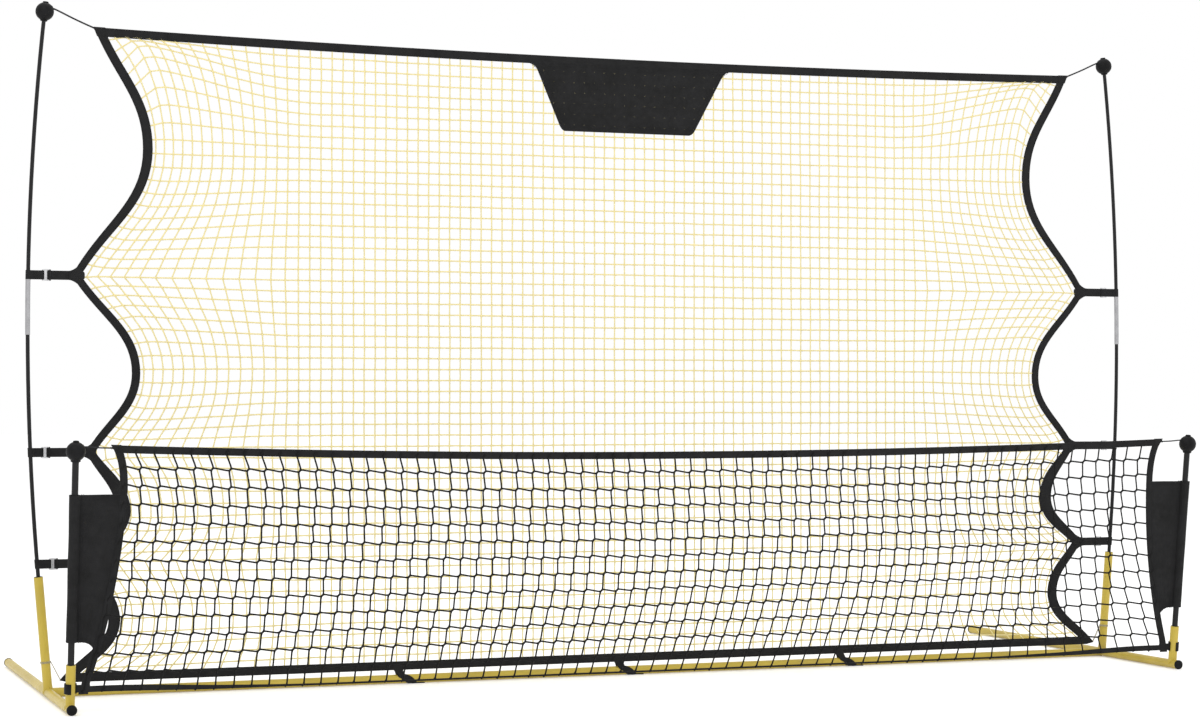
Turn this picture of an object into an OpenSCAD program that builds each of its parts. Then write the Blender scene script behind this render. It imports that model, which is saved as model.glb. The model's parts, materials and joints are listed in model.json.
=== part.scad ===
// Pitch back rebounder: a tall rebound net on two bowed poles, with a low front net on short posts.
// X runs across the object, Y to the rear, Z up. The origin is on the ground, at the middle of the
// object's outer box. The right side is drawn, and the left side is its mirror image.

/* [Ground frame] */
// Distance between the axes of the two foot tubes
foot_spacing = 2108; // [1900:1:2300]
// Outer diameter of all the steel tubes
tube_d = 16; // [14:0.5:20]
// Wall of the steel tubes
tube_wall = 1.2; // [1:0.1:1.5]
// From the tall net's plane to the front end of a foot
foot_front = 281; // [240:1:320]
// From the tall net's plane to the rear end of a foot
foot_rear = 552; // [480:1:620]
// Height of the foot tubes' axes above the ground
tube_z = 8.8; // [8.8:0.1:9.5]

/* [Tall poles] */
// Outward lean of the sockets that hold the tall poles, in degrees
socket_lean = 5; // [3:0.5:7]
// Height of a tall pole's socket mouth
socket_top = 210; // [180:1:240]
// Diameter of the tall poles
pole_d = 7; // [6:0.5:8]
// Radius that the tall poles are bowed to
bow_r = 5200; // [4800:50:6000]
// Length of pole from the socket mouth to the middle of its ball cap
pole_len = 990; // [980:1:1000]
// Length of pole from the socket mouth to the lower end of the ferrule
ferrule_start = 423; // [400:1:440]
// Length of the ferrule
ferrule_len = 112; // [90:1:112]

/* [Front posts] */
// From the tall net's plane to the foot of a front post
post_y = 257; // [240:1:262]
// Forward lean of the front posts, in degrees
post_lean = 7.6; // [5:0.1:9]
// Diameter of the front posts
post_d = 11; // [9:0.5:12]
// Length from a foot's axis to the mouth of a front socket
front_socket_len = 74; // [60:1:90]
// Length from a foot's axis to the middle of a front ball cap
post_len = 429; // [429:1:434]

/* [Ball caps] */
// Diameter of the ball caps
ball_d = 32; // [28:1:36]
// How deep a pole tip sits past the middle of its cap
tip_depth = 6; // [3:0.5:8]

/* [Tall net] */
// Width of the webbing along the tall net's top and bottom
band_w = 16; // [12:0.5:18]
// Thickness of the folded webbing binding
band_t = 3; // [2.6:0.1:4]
// Thickness of the mesh as a plain sheet
mesh_t = 1; // [0.8:0.1:1.2]
// Droop of the tall net's upper band at mid-span
top_sag = 11; // [5:1:20]
// Width of the side straps
strap_w = 16; // [14:0.5:18]
// Diameter of the elastic cords at the ball caps
cord_d = 3; // [2:0.5:4]

/* [Front net] */
// Width of the front net's binding at the top and the sides
hem_w = 13; // [10:0.5:14]
// Width of the front net's bottom hem
low_hem_w = 6; // [4:0.5:12]
// Droop of the front net's upper band at mid-span
front_sag = 17.5; // [10:0.5:30]

/* [Hidden] */
$fn = 48;
ARC_FN = 720;
STEPS = 7;

yellow = [0.89, 0.76, 0.25];
black = [0.13, 0.13, 0.13];
grey = [0.62, 0.62, 0.62];
mesh_colour = [0.96, 0.90, 0.70];

// Frame
foot_x = foot_spacing / 2;
tube_r = tube_d / 2;
bore_r = tube_r - tube_wall;
spigot_r = bore_r - 0.1;
spigot_bore_r = spigot_r - 1.2;
ball_r = ball_d / 2;
post_ball_y = -post_y - post_len * sin(post_lean);
net_y = -(foot_rear + post_ball_y - ball_r) / 2;
sleeve_front = 22;
sleeve_rear = 48;
spigot_front = 28;
spigot_rear = 36;
stub_len = 55;
stub_end = foot_x - stub_len;
cross_spigot = 44;
plug_t = 3;
seam = 0.2;

// Tall poles: the bow starts at the socket mouth and leans inward
socket_len = (socket_top - tube_z) / cos(socket_lean);
mouth_x = foot_x + socket_len * sin(socket_lean);
bow_x = mouth_x - bow_r * cos(socket_lean);
bow_z = socket_top + bow_r * sin(socket_lean);
pole_insert = 55;
pole_joint = ferrule_start + ferrule_len / 2;
function bow_angle(s) = -socket_lean + s / bow_r * 180 / PI;
function bow_at(s) = [bow_x + bow_r * cos(bow_angle(s)), bow_z + bow_r * sin(bow_angle(s))];
function bow_x_at(z) = bow_x + sqrt(bow_r * bow_r - (z - bow_z) * (z - bow_z));

// Snap buttons
button_r = 3.9;
button_hole_r = 4.05;
button_out = 3.6;
flange_y = 2;
stub_button_x = foot_x - 34;
centre_button_x = 54;
joiner_half = 70;

// Tall net outline, right half: tip, then valleys and cusps down the side
tip = [978.5, 1175.5];
cusps = [[1015.5, 737], [990, 427], [1006, 232.5]];
valleys = [[891.5, 963], [910, 566], [938, 323], [950, 131]];
base_tip = [1035, 29];
// Width of the side binding at the tip, at each valley and cusp in turn, and at the base tip
side_w = [15.5, 17.5, 13.5, 15, 14, 27, 16, 21, 16];
strap_z = [for (c = cusps) c[1]];
slider_gap = [30, 25, 26.5];
bottom_edge = 25;

// Front net outline, right half: x, and height measured along the posts' lean
front_tip = [997, 448];
front_waist = [981, 375];
front_foot_pt = [1033.5, 61];
front_base = [1041, 33];
panel_top = 366;
panel_cut = 120;

// Curves
function bez(p, q, r, s, t) = (1 - t) ^ 3 * p + 3 * (1 - t) ^ 2 * t * q + 3 * (1 - t) * t ^ 2 * r + t ^ 3 * s;
function run_in(a, v) = [for (i = [0 : STEPS - 1])
    bez(a, a + 0.42 * (v - a), [v[0], v[1] + 0.42 * (a[1] - v[1])], v, i / STEPS)];
function run_out(v, b) = [for (i = [0 : STEPS - 1])
    bez(v, [v[0], v[1] + 0.42 * (b[1] - v[1])], b + 0.42 * (v - b), b, i / STEPS)];
function side_curve() = concat(
    run_in(tip, valleys[0]), run_out(valleys[0], cusps[0]),
    run_in(cusps[0], valleys[1]), run_out(valleys[1], cusps[1]),
    run_in(cusps[1], valleys[2]), run_out(valleys[2], cusps[2]),
    run_in(cusps[2], valleys[3]), run_out(valleys[3], base_tip), [base_tip],
    [[base_tip[0] - 18, bottom_edge]]);
function top_curve(t, sag, half) = [for (i = [-2 * STEPS : 2 * STEPS])
    [half * i / (2 * STEPS), t[1] - sag * (1 - (i / (2 * STEPS)) ^ 2)]];
function front_curve() = concat(
    [for (i = [0 : STEPS - 1]) bez(front_tip, front_tip + [-12, -18], front_waist + [0, 30], front_waist, i / STEPS)],
    [for (i = [0 : STEPS]) bez(front_waist, front_waist + [3, -100], front_foot_pt + [-29.5, 90], front_foot_pt,
        i / STEPS)],
    [front_base]);

// The points of a curve moved sideways by d, to its right when it runs downward on the right-hand side
function turn(p, q) = let (v = q - p) [v[1], -v[0]] / norm(v);
function inset(c, d) = [for (i = [0 : len(c) - 1])
    let (n = turn(c[max(i - 1, 0)], c[min(i + 1, len(c) - 1)])) c[i] + d * n];
function side_width(i) = let (k = min(floor(i / STEPS), len(side_w) - 2), f = min(i / STEPS - k, 1))
    side_w[k] + f * (side_w[k + 1] - side_w[k]);
function opening_curve() = let (c = side_curve()) [for (i = [0 : len(c) - 1])
    let (n = turn(c[max(i - 1, 0)], c[min(i + 1, len(c) - 1)])) c[i] + side_width(i) * n];
function flip(c) = [for (p = c) [-p[0], p[1]]];
function back(c) = [for (i = [len(c) - 1 : -1 : 0]) c[i]];

// A shape with the same curve down both sides, and top and bottom edges pulled in by d and low
module tall_cut(side, d) {
    intersection() {
        polygon(concat(side, flip(back(side))));
        polygon(concat(
            [[-1100, bottom_edge + d], [1100, bottom_edge + d], [1100, 1100]],
            back(top_curve(tip - [0, d], top_sag, tip[0])), [[-1100, 1100]]));
    }
}

module front_cut(side, d, low) {
    intersection() {
        polygon(concat(side, flip(back(side))));
        polygon(concat(
            [[-1100, front_base[1] + low], [1100, front_base[1] + low], [1100, 400]],
            back(top_curve(front_tip - [0, d], front_sag, front_tip[0])), [[-1100, 400]]));
    }
}

// The nets' outlines, pulled in by d all round
module tall_shape(d) {
    tall_cut(inset(side_curve(), d), d);
}

module front_shape(d) {
    front_cut(inset(front_curve(), d), d, d);
}

// What the bindings leave open
module tall_opening() {
    tall_cut(opening_curve(), band_w);
}

module front_opening() {
    front_cut(inset(front_curve(), hem_w), hem_w, low_hem_w);
}

// Placing
module right_and_left(side) {
    if (side > 0) children();
    else mirror([1, 0, 0]) children();
}

// A flat shape drawn as [x, z], stood up in the tall net's plane with thickness t
module upright(t, y = 0) {
    translate([0, net_y + y + t / 2, 0]) rotate([90, 0, 0]) linear_extrude(t) children();
}

// The same in the plane of the front posts, with heights measured along their lean
module leaning(t, y = 0) {
    translate([0, net_y - post_y, tube_z]) rotate([post_lean, 0, 0])
        translate([0, y + t / 2, 0]) rotate([90, 0, 0]) linear_extrude(t)
            from_axis() children();
}

module from_axis() {
    translate([0, -tube_z]) children();
}

// A tube or rod along an axis that starts at the origin and runs up
module pipe(r, l, r_in = 0) {
    difference() {
        cylinder(r = r, h = l);
        if (r_in > 0) translate([0, 0, -1]) cylinder(r = r_in, h = l + 2);
    }
}

module along_y(y) {
    translate([foot_x, y, tube_z]) rotate([-90, 0, 0]) children();
}

module along_x(x) {
    translate([x, net_y, tube_z]) rotate([0, 90, 0]) children();
}

module on_socket(s = 0) {
    translate([foot_x, net_y, tube_z]) rotate([0, socket_lean, 0]) translate([0, 0, s]) children();
}

module on_post(s = 0) {
    translate([foot_x, net_y - post_y, tube_z]) rotate([post_lean, 0, 0]) translate([0, 0, s]) children();
}

// A bowed rod or tube between two lengths along the pole
module bowed(from, to, r, r_in = 0) {
    translate([bow_x, net_y, bow_z]) rotate([90, 0, 0]) rotate([0, 0, bow_angle(from)])
        rotate_extrude(angle = (to - from) / bow_r * 180 / PI, $fn = ARC_FN)
            translate([bow_r, 0]) difference() {
                circle(r = r, $fn = 32);
                if (r_in > 0) circle(r = r_in, $fn = 32);
            }
}

module on_bow(s) {
    translate([bow_at(s)[0], net_y, bow_at(s)[1]]) rotate([0, -bow_angle(s), 0]) children();
}

// A straight round cord between two points
module straight_cord(a, b, d) {
    v = b - a;
    translate(a) rotate([0, acos(v[2] / norm(v)), atan2(v[1], v[0])]) cylinder(r = d / 2, h = norm(v), $fn = 24);
}

// Ground frame
module tee(side) {
    color(yellow) right_and_left(side) difference() {
        union() {
            along_y(net_y - sleeve_front) cylinder(r = tube_r, h = sleeve_front + sleeve_rear);
            on_socket() cylinder(r = tube_r, h = socket_len);
            on_socket(2) cylinder(r1 = tube_r + 1, r2 = tube_r, h = 12);
            along_x(stub_end) cylinder(r = tube_r, h = stub_len);
        }
        along_y(net_y - sleeve_front - 1) cylinder(r = bore_r, h = sleeve_front + sleeve_rear + 2);
        on_socket(tube_r + 1) cylinder(r = bore_r, h = socket_len);
        along_x(stub_end - 1) cylinder(r = bore_r, h = stub_len - tube_r);
        button_hole(stub_button_x);
    }
}

module button_hole(x) {
    translate([x, net_y, tube_z]) rotate([-90, 0, 0]) cylinder(r = button_hole_r, h = tube_d);
}

module front_foot(side) {
    front_end = net_y - foot_front + plug_t;
    tube_end = net_y - sleeve_front - seam;
    color(yellow) right_and_left(side) difference() {
        union() {
            along_y(front_end) cylinder(r = tube_r, h = tube_end - front_end);
            along_y(tube_end - 1) cylinder(r = spigot_r, h = spigot_front + 1);
            on_post() cylinder(r = tube_r, h = front_socket_len);
        }
        along_y(front_end - 1) cylinder(r = bore_r, h = tube_end - front_end - 3);
        along_y(front_end) cylinder(r = spigot_bore_r, h = foot_front);
        on_post(tube_r + 1) cylinder(r = bore_r, h = front_socket_len);
    }
}

module rear_foot(side) {
    start = net_y + sleeve_rear + seam;
    rear_end = net_y + foot_rear - plug_t;
    color(yellow) right_and_left(side) difference() {
        union() {
            along_y(start) cylinder(r = tube_r, h = rear_end - start);
            along_y(start - spigot_rear) cylinder(r = spigot_r, h = spigot_rear + 1);
        }
        along_y(start + 4) cylinder(r = bore_r, h = foot_rear);
        along_y(start - spigot_rear - 1) cylinder(r = spigot_bore_r, h = foot_rear);
    }
}

module cross_tube(side) {
    outer = stub_end - seam;
    color(yellow) right_and_left(side) difference() {
        union() {
            along_x(seam) cylinder(r = tube_r, h = outer - seam);
            along_x(outer - 1) cylinder(r = spigot_r, h = cross_spigot + 1);
        }
        along_x(-1) cylinder(r = bore_r, h = outer - 3);
        along_x(-1) cylinder(r = spigot_bore_r, h = foot_x);
        button_hole(centre_button_x);
        button_hole(stub_button_x);
    }
}

module cross_joiner() {
    color(grey) difference() {
        along_x(-joiner_half) cylinder(r = spigot_r, h = 2 * joiner_half);
        along_x(-joiner_half - 1) cylinder(r = spigot_bore_r, h = 2 * joiner_half + 2);
        button_hole(centre_button_x);
        button_hole(-centre_button_x);
    }
}

// A push-in end plug: a stem with a flange and a slightly domed face
module end_plug() {
    translate([0, 0, -16]) cylinder(r = bore_r - 0.05, h = 16);
    cylinder(r = tube_z, h = plug_t - 1);
    translate([0, 0, plug_t - 1]) cylinder(r1 = tube_z, r2 = tube_z - 1.4, h = 1);
}

module front_plug(side) {
    color(black) right_and_left(side)
        translate([foot_x, net_y - foot_front + plug_t, tube_z]) rotate([90, 0, 0]) end_plug();
}

module rear_plug(side) {
    color(black) right_and_left(side) along_y(net_y + foot_rear - plug_t) end_plug();
}

// A snap button: a domed pin that stands out of the tube's rear side, on a flange inside the tube
module snap_button(x) {
    color(grey) translate([x, net_y, tube_z]) rotate([-90, 0, 0]) {
        translate([0, 0, flange_y]) cylinder(r = 4.6, h = 0.8);
        translate([0, 0, flange_y]) cylinder(r = button_r, h = tube_r + button_out - 1.5 - flange_y);
        translate([0, 0, tube_r + button_out - 1.5]) cylinder(r1 = button_r, r2 = button_r - 1.4, h = 1.5);
    }
}

module stub_button(side) {
    right_and_left(side) snap_button(stub_button_x);
}

module centre_button(side) {
    right_and_left(side) snap_button(centre_button_x);
}

// A bent leaf spring inside the tube: one leaf under the button, one against the far wall
module leaf_spring(x) {
    leaf_t = 0.5;
    leaf_w = 5;
    leaf_l = 16;
    pad = 4;
    high = flange_y - 0.1;
    low = -spigot_bore_r + 0.9;
    bend_r = (high - low) / 2;
    color(grey) translate([x, net_y, tube_z - leaf_w / 2]) mirror([1, 0, 0]) {
        for (y = [low, high - leaf_t]) translate([-pad, y, 0]) cube([leaf_l + pad, leaf_t, leaf_w]);
        translate([leaf_l - 0.01, low + bend_r, 0]) rotate([0, 0, -90])
            rotate_extrude(angle = 180) translate([bend_r - leaf_t, 0]) square([leaf_t, leaf_w]);
    }
}

module stub_spring(side) {
    right_and_left(side) leaf_spring(stub_button_x);
}

module centre_spring(side) {
    right_and_left(side) leaf_spring(centre_button_x);
}

// Poles and posts
module pole_bush(side) {
    color(black) right_and_left(side) difference() {
        union() {
            on_socket(socket_len - pole_insert - 3) cylinder(r = bore_r - 0.05, h = pole_insert + 3);
            on_socket(socket_len) cylinder(r = bore_r + 0.4, h = 0.8);
        }
        on_socket(socket_len - pole_insert) cylinder(r = pole_d / 2 + 0.05, h = pole_insert + 5);
    }
}

module lower_pole(side) {
    color(black) right_and_left(side) {
        on_socket(socket_len - pole_insert) cylinder(r = pole_d / 2 - 0.05, h = pole_insert + 2, $fn = 32);
        bowed(0, pole_joint - seam, pole_d / 2);
    }
}

module upper_pole(side) {
    color(black) right_and_left(side) bowed(pole_joint + seam, pole_len + tip_depth, pole_d / 2);
}

module ferrule(side) {
    color(grey) right_and_left(side)
        bowed(ferrule_start, ferrule_start + ferrule_len, pole_d / 2 + 0.8, pole_d / 2 + 0.05);
}

module post_bush(side) {
    color(black) right_and_left(side) difference() {
        on_post(front_socket_len - 52) cylinder(r = bore_r - 0.05, h = 52);
        on_post(front_socket_len - 50) cylinder(r = post_d / 2 + 0.05, h = 60);
    }
}

module front_post(side) {
    start = front_socket_len - 50;
    color(black) right_and_left(side) on_post(start) pipe(post_d / 2, post_len + tip_depth - start, post_d / 2 - 1.5);
}

// A ball cap with a blind bore for the pole tip, a short collar below and a boss for its cord on top
module ball_cap(bore) {
    difference() {
        union() {
            sphere(r = ball_r, $fn = 64);
            translate([0, 0, -ball_r - 1]) cylinder(r = bore + 2, h = 6);
            translate([0, 0, ball_r - 3]) cylinder(r = 5, h = 4.5);
        }
        translate([0, 0, -ball_r - 2]) cylinder(r = bore + 0.1, h = ball_r + 2 + tip_depth + 1);
    }
}

module pole_cap(side) {
    color(black) right_and_left(side) on_bow(pole_len) ball_cap(pole_d / 2);
}

module post_cap(side) {
    color(black) right_and_left(side) on_post(post_len) ball_cap(post_d / 2);
}

// Elastic cords from the ball caps to the nets' upper corners
module pole_cap_cord(side) {
    ball = bow_at(pole_len);
    start = [ball[0] - ball_r, net_y, ball[1] + ball_r * 0.45];
    color(black) right_and_left(side) straight_cord(start, [tip[0] + 1, net_y, tip[1] - 1], cord_d);
}

module post_cap_cord(side) {
    ball_z = tube_z + post_len * cos(post_lean);
    ball_y = net_y + post_ball_y;
    end_w = front_tip[1] - tube_z - 6;
    end_y = net_y - post_y - end_w * sin(post_lean);
    color(black) right_and_left(side) straight_cord(
        [foot_x - ball_r * 0.95, ball_y, ball_z + ball_r * 0.56],
        [front_tip[0] + 1.5, end_y, tube_z + end_w * cos(post_lean)], cord_d);
}

// Thin elastic cords from the tall net's lower corners to loops round the tall sockets
module corner_cord() {
    height = 53;
    ring_x = foot_x + height * sin(socket_lean) - tube_r - 0.9;
    straight_cord([base_tip[0] + 1, net_y, base_tip[1] + 3], [ring_x, net_y, tube_z + height], 1.5);
    on_socket(height) rotate_extrude() translate([tube_r + 0.9, 0]) circle(r = 0.75, $fn = 16);
}

module corner_cords() {
    color(grey) {
        corner_cord();
        mirror([1, 0, 0]) corner_cord();
    }
}

// Tall net
module rebound_net() {
    color(mesh_colour) upright(mesh_t) tall_shape(2);
}

module net_binding() {
    color(black) difference() {
        upright(band_t) difference() {
            tall_shape(0);
            tall_opening();
        }
        upright(mesh_t + 0.2) tall_shape(1.8);
    }
}

module header_panel() {
    color(black) upright(0.8, -mesh_t / 2 - 0.5)
        polygon([[-159, 1148], [225.5, 1148], [160, 1027], [156, 1024], [-103, 1024], [-107, 1027]]);
}

// Side straps: a flat band from a cusp to the pole, and a loop round the pole
module side_strap(i) {
    loop_r = i == 0 ? pole_d / 2 + 1 : pole_d / 2 + 0.2;
    pole_x = bow_x_at(strap_z[i]);
    start = cusps[i][0] - 1.8;
    translate([start, net_y - 0.6, strap_z[i] - strap_w / 2]) cube([pole_x - loop_r - start - 0.3, 1.2, strap_w]);
    translate([pole_x, net_y, strap_z[i]]) rotate([0, -bow_angle(strap_z[i] - socket_top), 0]) difference() {
        translate([0, 0, -strap_w / 2]) cylinder(r = loop_r + 1.4, h = strap_w);
        translate([0, 0, -strap_w]) cylinder(r = loop_r, h = 2 * strap_w);
    }
}

module side_straps(side) {
    color(black) right_and_left(side) for (i = [0 : 2]) side_strap(i);
}

// A flat metal strap slider: two rails, a front bar, and two bars behind the strap
module slider(i) {
    inner_h = strap_w + 1;
    bar_t = 1.3;
    gap = 0.9;
    translate([bow_x_at(strap_z[i]) - slider_gap[i], net_y, strap_z[i]]) {
        for (s = [-1, 1]) translate([-6, -gap - bar_t, s > 0 ? inner_h / 2 : -inner_h / 2 - 1.6])
            cube([12, 2 * (gap + bar_t), 1.6]);
        translate([-2.4, -gap - bar_t, -inner_h / 2]) cube([4.8, bar_t, inner_h]);
        for (x = [-6, 4]) translate([x, gap, -inner_h / 2]) cube([2, bar_t, inner_h]);
    }
}

module upper_slider(side) {
    color(grey) right_and_left(side) slider(0);
}

module middle_slider(side) {
    color(grey) right_and_left(side) slider(1);
}

module lower_slider(side) {
    color(grey) right_and_left(side) slider(2);
}

// Short straps that wind round the cross tube and hold the lower band down to it
module ground_strap(x) {
    loop_w = 30;
    tab_w = 16;
    tab_z = tube_z + tube_r + 0.3;
    along_x(x) pipe(tube_r + 0.75, loop_w, tube_r + 0.05);
    translate([x, net_y - 0.6, tab_z]) cube([tab_w, 1.2, bottom_edge - tab_z]);
}

module ground_straps() {
    color(black) for (x = [-410, 20, 480]) ground_strap(x);
}

// Front net
module front_net() {
    color(black) leaning(mesh_t) front_shape(2);
}

module front_net_binding() {
    color(black) difference() {
        leaning(band_t) difference() {
            front_shape(0);
            front_opening();
        }
        leaning(mesh_t + 0.2) front_shape(1.8);
    }
}

// A fabric panel between the front net's side and the sleeve on the post
module side_panel(side) {
    post_x = foot_x - post_d / 2 - 2.8;
    color(black) right_and_left(side) {
        leaning(1.4) difference() {
            intersection() {
                polygon(concat(
                    [[post_x, panel_cut + 240], [post_x, panel_cut], [1040, panel_cut], [1030, 112], [1024, 100]],
                    [[960, 100], [960, panel_cut + 240]]));
                square([foot_x, panel_top]);
            }
            polygon(concat(front_curve(), [[0, 0], [0, 445]]));
        }
        on_post((panel_cut - tube_z) / cos(post_lean)) pipe(post_d / 2 + 3.5, 242, post_d / 2 + 2.2);
    }
}

// A spring clip round the front socket, open towards the front net's corner
module corner_clip(side) {
    color(black) right_and_left(side) on_post(26) rotate([0, 0, 270])
        rotate_extrude(angle = 285) translate([tube_r + 0.1, 0]) square([2.2, 17]);
}

tee(-1);  // tee_left
tee(1);  // tee_right
front_foot(-1);  // front_foot_left
front_foot(1);  // front_foot_right
rear_foot(-1);  // rear_foot_left
rear_foot(1);  // rear_foot_right
cross_tube(-1);  // cross_tube_left
cross_tube(1);  // cross_tube_right
cross_joiner();
front_plug(-1);  // front_plug_left
front_plug(1);  // front_plug_right
rear_plug(-1);  // rear_plug_left
rear_plug(1);  // rear_plug_right
stub_button(-1);  // stub_button_left
stub_button(1);  // stub_button_right
centre_button(-1);  // centre_button_left
centre_button(1);  // centre_button_right
stub_spring(-1);  // stub_spring_left
stub_spring(1);  // stub_spring_right
centre_spring(-1);  // centre_spring_left
centre_spring(1);  // centre_spring_right
pole_bush(-1);  // pole_bush_left
pole_bush(1);  // pole_bush_right
post_bush(-1);  // post_bush_left
post_bush(1);  // post_bush_right
lower_pole(-1);  // lower_pole_left
lower_pole(1);  // lower_pole_right
upper_pole(-1);  // upper_pole_left
upper_pole(1);  // upper_pole_right
ferrule(-1);  // ferrule_left
ferrule(1);  // ferrule_right
front_post(-1);  // front_post_left
front_post(1);  // front_post_right
pole_cap(-1);  // pole_cap_left
pole_cap(1);  // pole_cap_right
post_cap(-1);  // post_cap_left
post_cap(1);  // post_cap_right
pole_cap_cord(-1);  // pole_cap_cord_left
pole_cap_cord(1);  // pole_cap_cord_right
post_cap_cord(-1);  // post_cap_cord_left
post_cap_cord(1);  // post_cap_cord_right
corner_cords();
rebound_net();
net_binding();
header_panel();
side_straps(-1);  // side_straps_left
side_straps(1);  // side_straps_right
upper_slider(-1);  // upper_slider_left
upper_slider(1);  // upper_slider_right
middle_slider(-1);  // middle_slider_left
middle_slider(1);  // middle_slider_right
lower_slider(-1);  // lower_slider_left
lower_slider(1);  // lower_slider_right
ground_straps();
front_net();
front_net_binding();
side_panel(-1);  // side_panel_left
side_panel(1);  // side_panel_right
corner_clip(-1);  // corner_clip_left
corner_clip(1);  // corner_clip_right
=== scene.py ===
import json
import math

import bmesh
import bpy
import numpy as np
from mathutils import Matrix, Vector, noise


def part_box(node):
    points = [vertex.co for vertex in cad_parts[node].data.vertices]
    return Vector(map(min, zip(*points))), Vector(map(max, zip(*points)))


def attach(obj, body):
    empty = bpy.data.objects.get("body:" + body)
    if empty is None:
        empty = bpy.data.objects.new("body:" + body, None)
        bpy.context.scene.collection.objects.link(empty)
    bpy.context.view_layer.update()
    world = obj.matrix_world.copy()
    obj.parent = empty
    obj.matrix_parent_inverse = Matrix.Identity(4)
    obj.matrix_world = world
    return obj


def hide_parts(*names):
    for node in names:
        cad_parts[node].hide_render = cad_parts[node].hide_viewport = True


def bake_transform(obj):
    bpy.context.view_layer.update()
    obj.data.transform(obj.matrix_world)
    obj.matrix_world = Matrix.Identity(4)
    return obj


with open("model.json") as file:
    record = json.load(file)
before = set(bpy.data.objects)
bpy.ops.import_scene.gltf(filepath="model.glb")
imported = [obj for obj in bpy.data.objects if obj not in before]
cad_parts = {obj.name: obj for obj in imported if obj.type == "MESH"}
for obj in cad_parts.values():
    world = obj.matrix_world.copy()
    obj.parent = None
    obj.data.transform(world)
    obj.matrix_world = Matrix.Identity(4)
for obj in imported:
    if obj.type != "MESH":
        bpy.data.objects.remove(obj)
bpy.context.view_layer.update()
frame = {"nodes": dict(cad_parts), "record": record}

# Places read from the frame, and sizes repeated from the CAD part, in metres. A place given as a pair
# is x and the height up the net's plane.
SIDES = {"left": -1, "right": 1}


def middle(node):
    low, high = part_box(node)
    return (low + high) / 2


NET_Y = middle("rebound_net").y
FOOT_X = middle("front_plug_right").x
TUBE_Z = middle("front_plug_right").z
TUBE_R = 0.008
SOCKET_LEAN = math.radians(5)
SOCKET_TOP = 0.210
POLE_R = 0.0035
BOW_R = 5.2
POLE_LEN = 0.990
POST_Y = 0.257
POST_LEAN = math.radians(7.6)
POST_R = 0.0055
POST_LEN = 0.429
BALL_R = 0.016
POLE_CORD_R = 0.0015
POST_CORD_R = 0.0012
CORNER_CORD_R = 0.0007
TIP_DEPTH = 0.006

BAND_W = 0.016
BAND_T = 0.003
LEVEL_T = BAND_T - 0.0003
PATCH_T = BAND_T + 0.0008
HEM_W = 0.013
STRAP_W = 0.016
FINE_STITCH = dict(pitch=0.0026, length=0.0020, radius=0.0003)
BOX_STITCH = dict(pitch=0.0032, length=0.0024, radius=0.0003)
PANEL_STITCH = dict(pitch=0.0042, length=0.0030, radius=0.00035)
TOP_SAG = 0.011
FRONT_SAG = 0.0175
TIP = (0.9785, 1.1755)
CUSPS = ((1.0155, 0.737), (0.990, 0.427), (1.006, 0.2325))
VALLEYS = ((0.8915, 0.963), (0.910, 0.566), (0.938, 0.323), (0.950, 0.131))
BASE_TIP = (1.035, 0.029)
SIDE_WIDTHS = (0.0155, 0.0175, 0.0135, 0.015, 0.014, 0.027, 0.016, 0.021, 0.016)
SIDE_STEPS = 18
SIDE_PULL = 0.42
BOTTOM_EDGE = 0.025
FRONT_TIP = (0.997, 0.448)
FRONT_WAIST = (0.981, 0.375)
FRONT_FOOT = (1.0335, 0.061)
FRONT_BASE = (1.041, 0.033)
PANEL_TOP = 0.366
PANEL_CUT = 0.120
PANEL_FOOT = 0.100
GROUND_STRAPS = (-0.410, 0.020, 0.480)

MOUTH_X = FOOT_X + (SOCKET_TOP - TUBE_Z) * math.tan(SOCKET_LEAN)
BOW_X = MOUTH_X - BOW_R * math.cos(SOCKET_LEAN)
BOW_Z = SOCKET_TOP + BOW_R * math.sin(SOCKET_LEAN)


def bow_angle(length):
    """Angle of the bowed pole at a length above the socket mouth."""
    return -SOCKET_LEAN + length / BOW_R


def bow_x_at(z):
    return BOW_X + math.sqrt(BOW_R ** 2 - (z - BOW_Z) ** 2)


# Camera

def make_camera():
    """Low and to the left of the object's middle, a long lens, turned 20 degrees to the right."""
    yaw, pitch, roll = 0.350672, -0.0180885, -0.000586
    data = bpy.data.cameras.new("camera")
    data.sensor_width = 36
    data.lens = 76.19
    data.clip_end = 200
    camera = bpy.data.objects.new("camera", data)
    look = Vector((math.sin(yaw) * math.cos(pitch), math.cos(yaw) * math.cos(pitch), -math.sin(pitch)))
    right = Vector((math.cos(yaw), -math.sin(yaw), 0))
    up = right.cross(look)
    turn = Matrix((right, up, -look)).transposed() @ Matrix.Rotation(roll, 3, "Z")
    camera.matrix_world = Matrix.Translation((-1.67433, NET_Y - 4.49707, 0.50941)) @ turn.to_4x4()
    bpy.context.scene.collection.objects.link(camera)
    bpy.context.scene.camera = camera


make_camera()


# Curves, as rows of (x, height)

def bezier(p, q, r, s, steps):
    """Points along a cubic curve, without its last one."""
    t = np.linspace(0, 1, steps, endpoint=False)[:, None]
    p, q, r, s = (np.array(v, float) for v in (p, q, r, s))
    return (1 - t) ** 3 * p + 3 * (1 - t) ** 2 * t * q + 3 * (1 - t) * t ** 2 * r + t ** 3 * s


def run_in(corner, valley, steps):
    """From an outward point of the net's edge down to the valley below it."""
    a, v = np.array(corner), np.array(valley)
    return bezier(a, a + SIDE_PULL * (v - a), (v[0], v[1] + SIDE_PULL * (a[1] - v[1])), v, steps)


def run_out(valley, corner, steps):
    """From a valley down to the outward point below it."""
    v, b = np.array(valley), np.array(corner)
    return bezier(v, (v[0], v[1] + SIDE_PULL * (b[1] - v[1])), b + SIDE_PULL * (v - b), b, steps)


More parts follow.
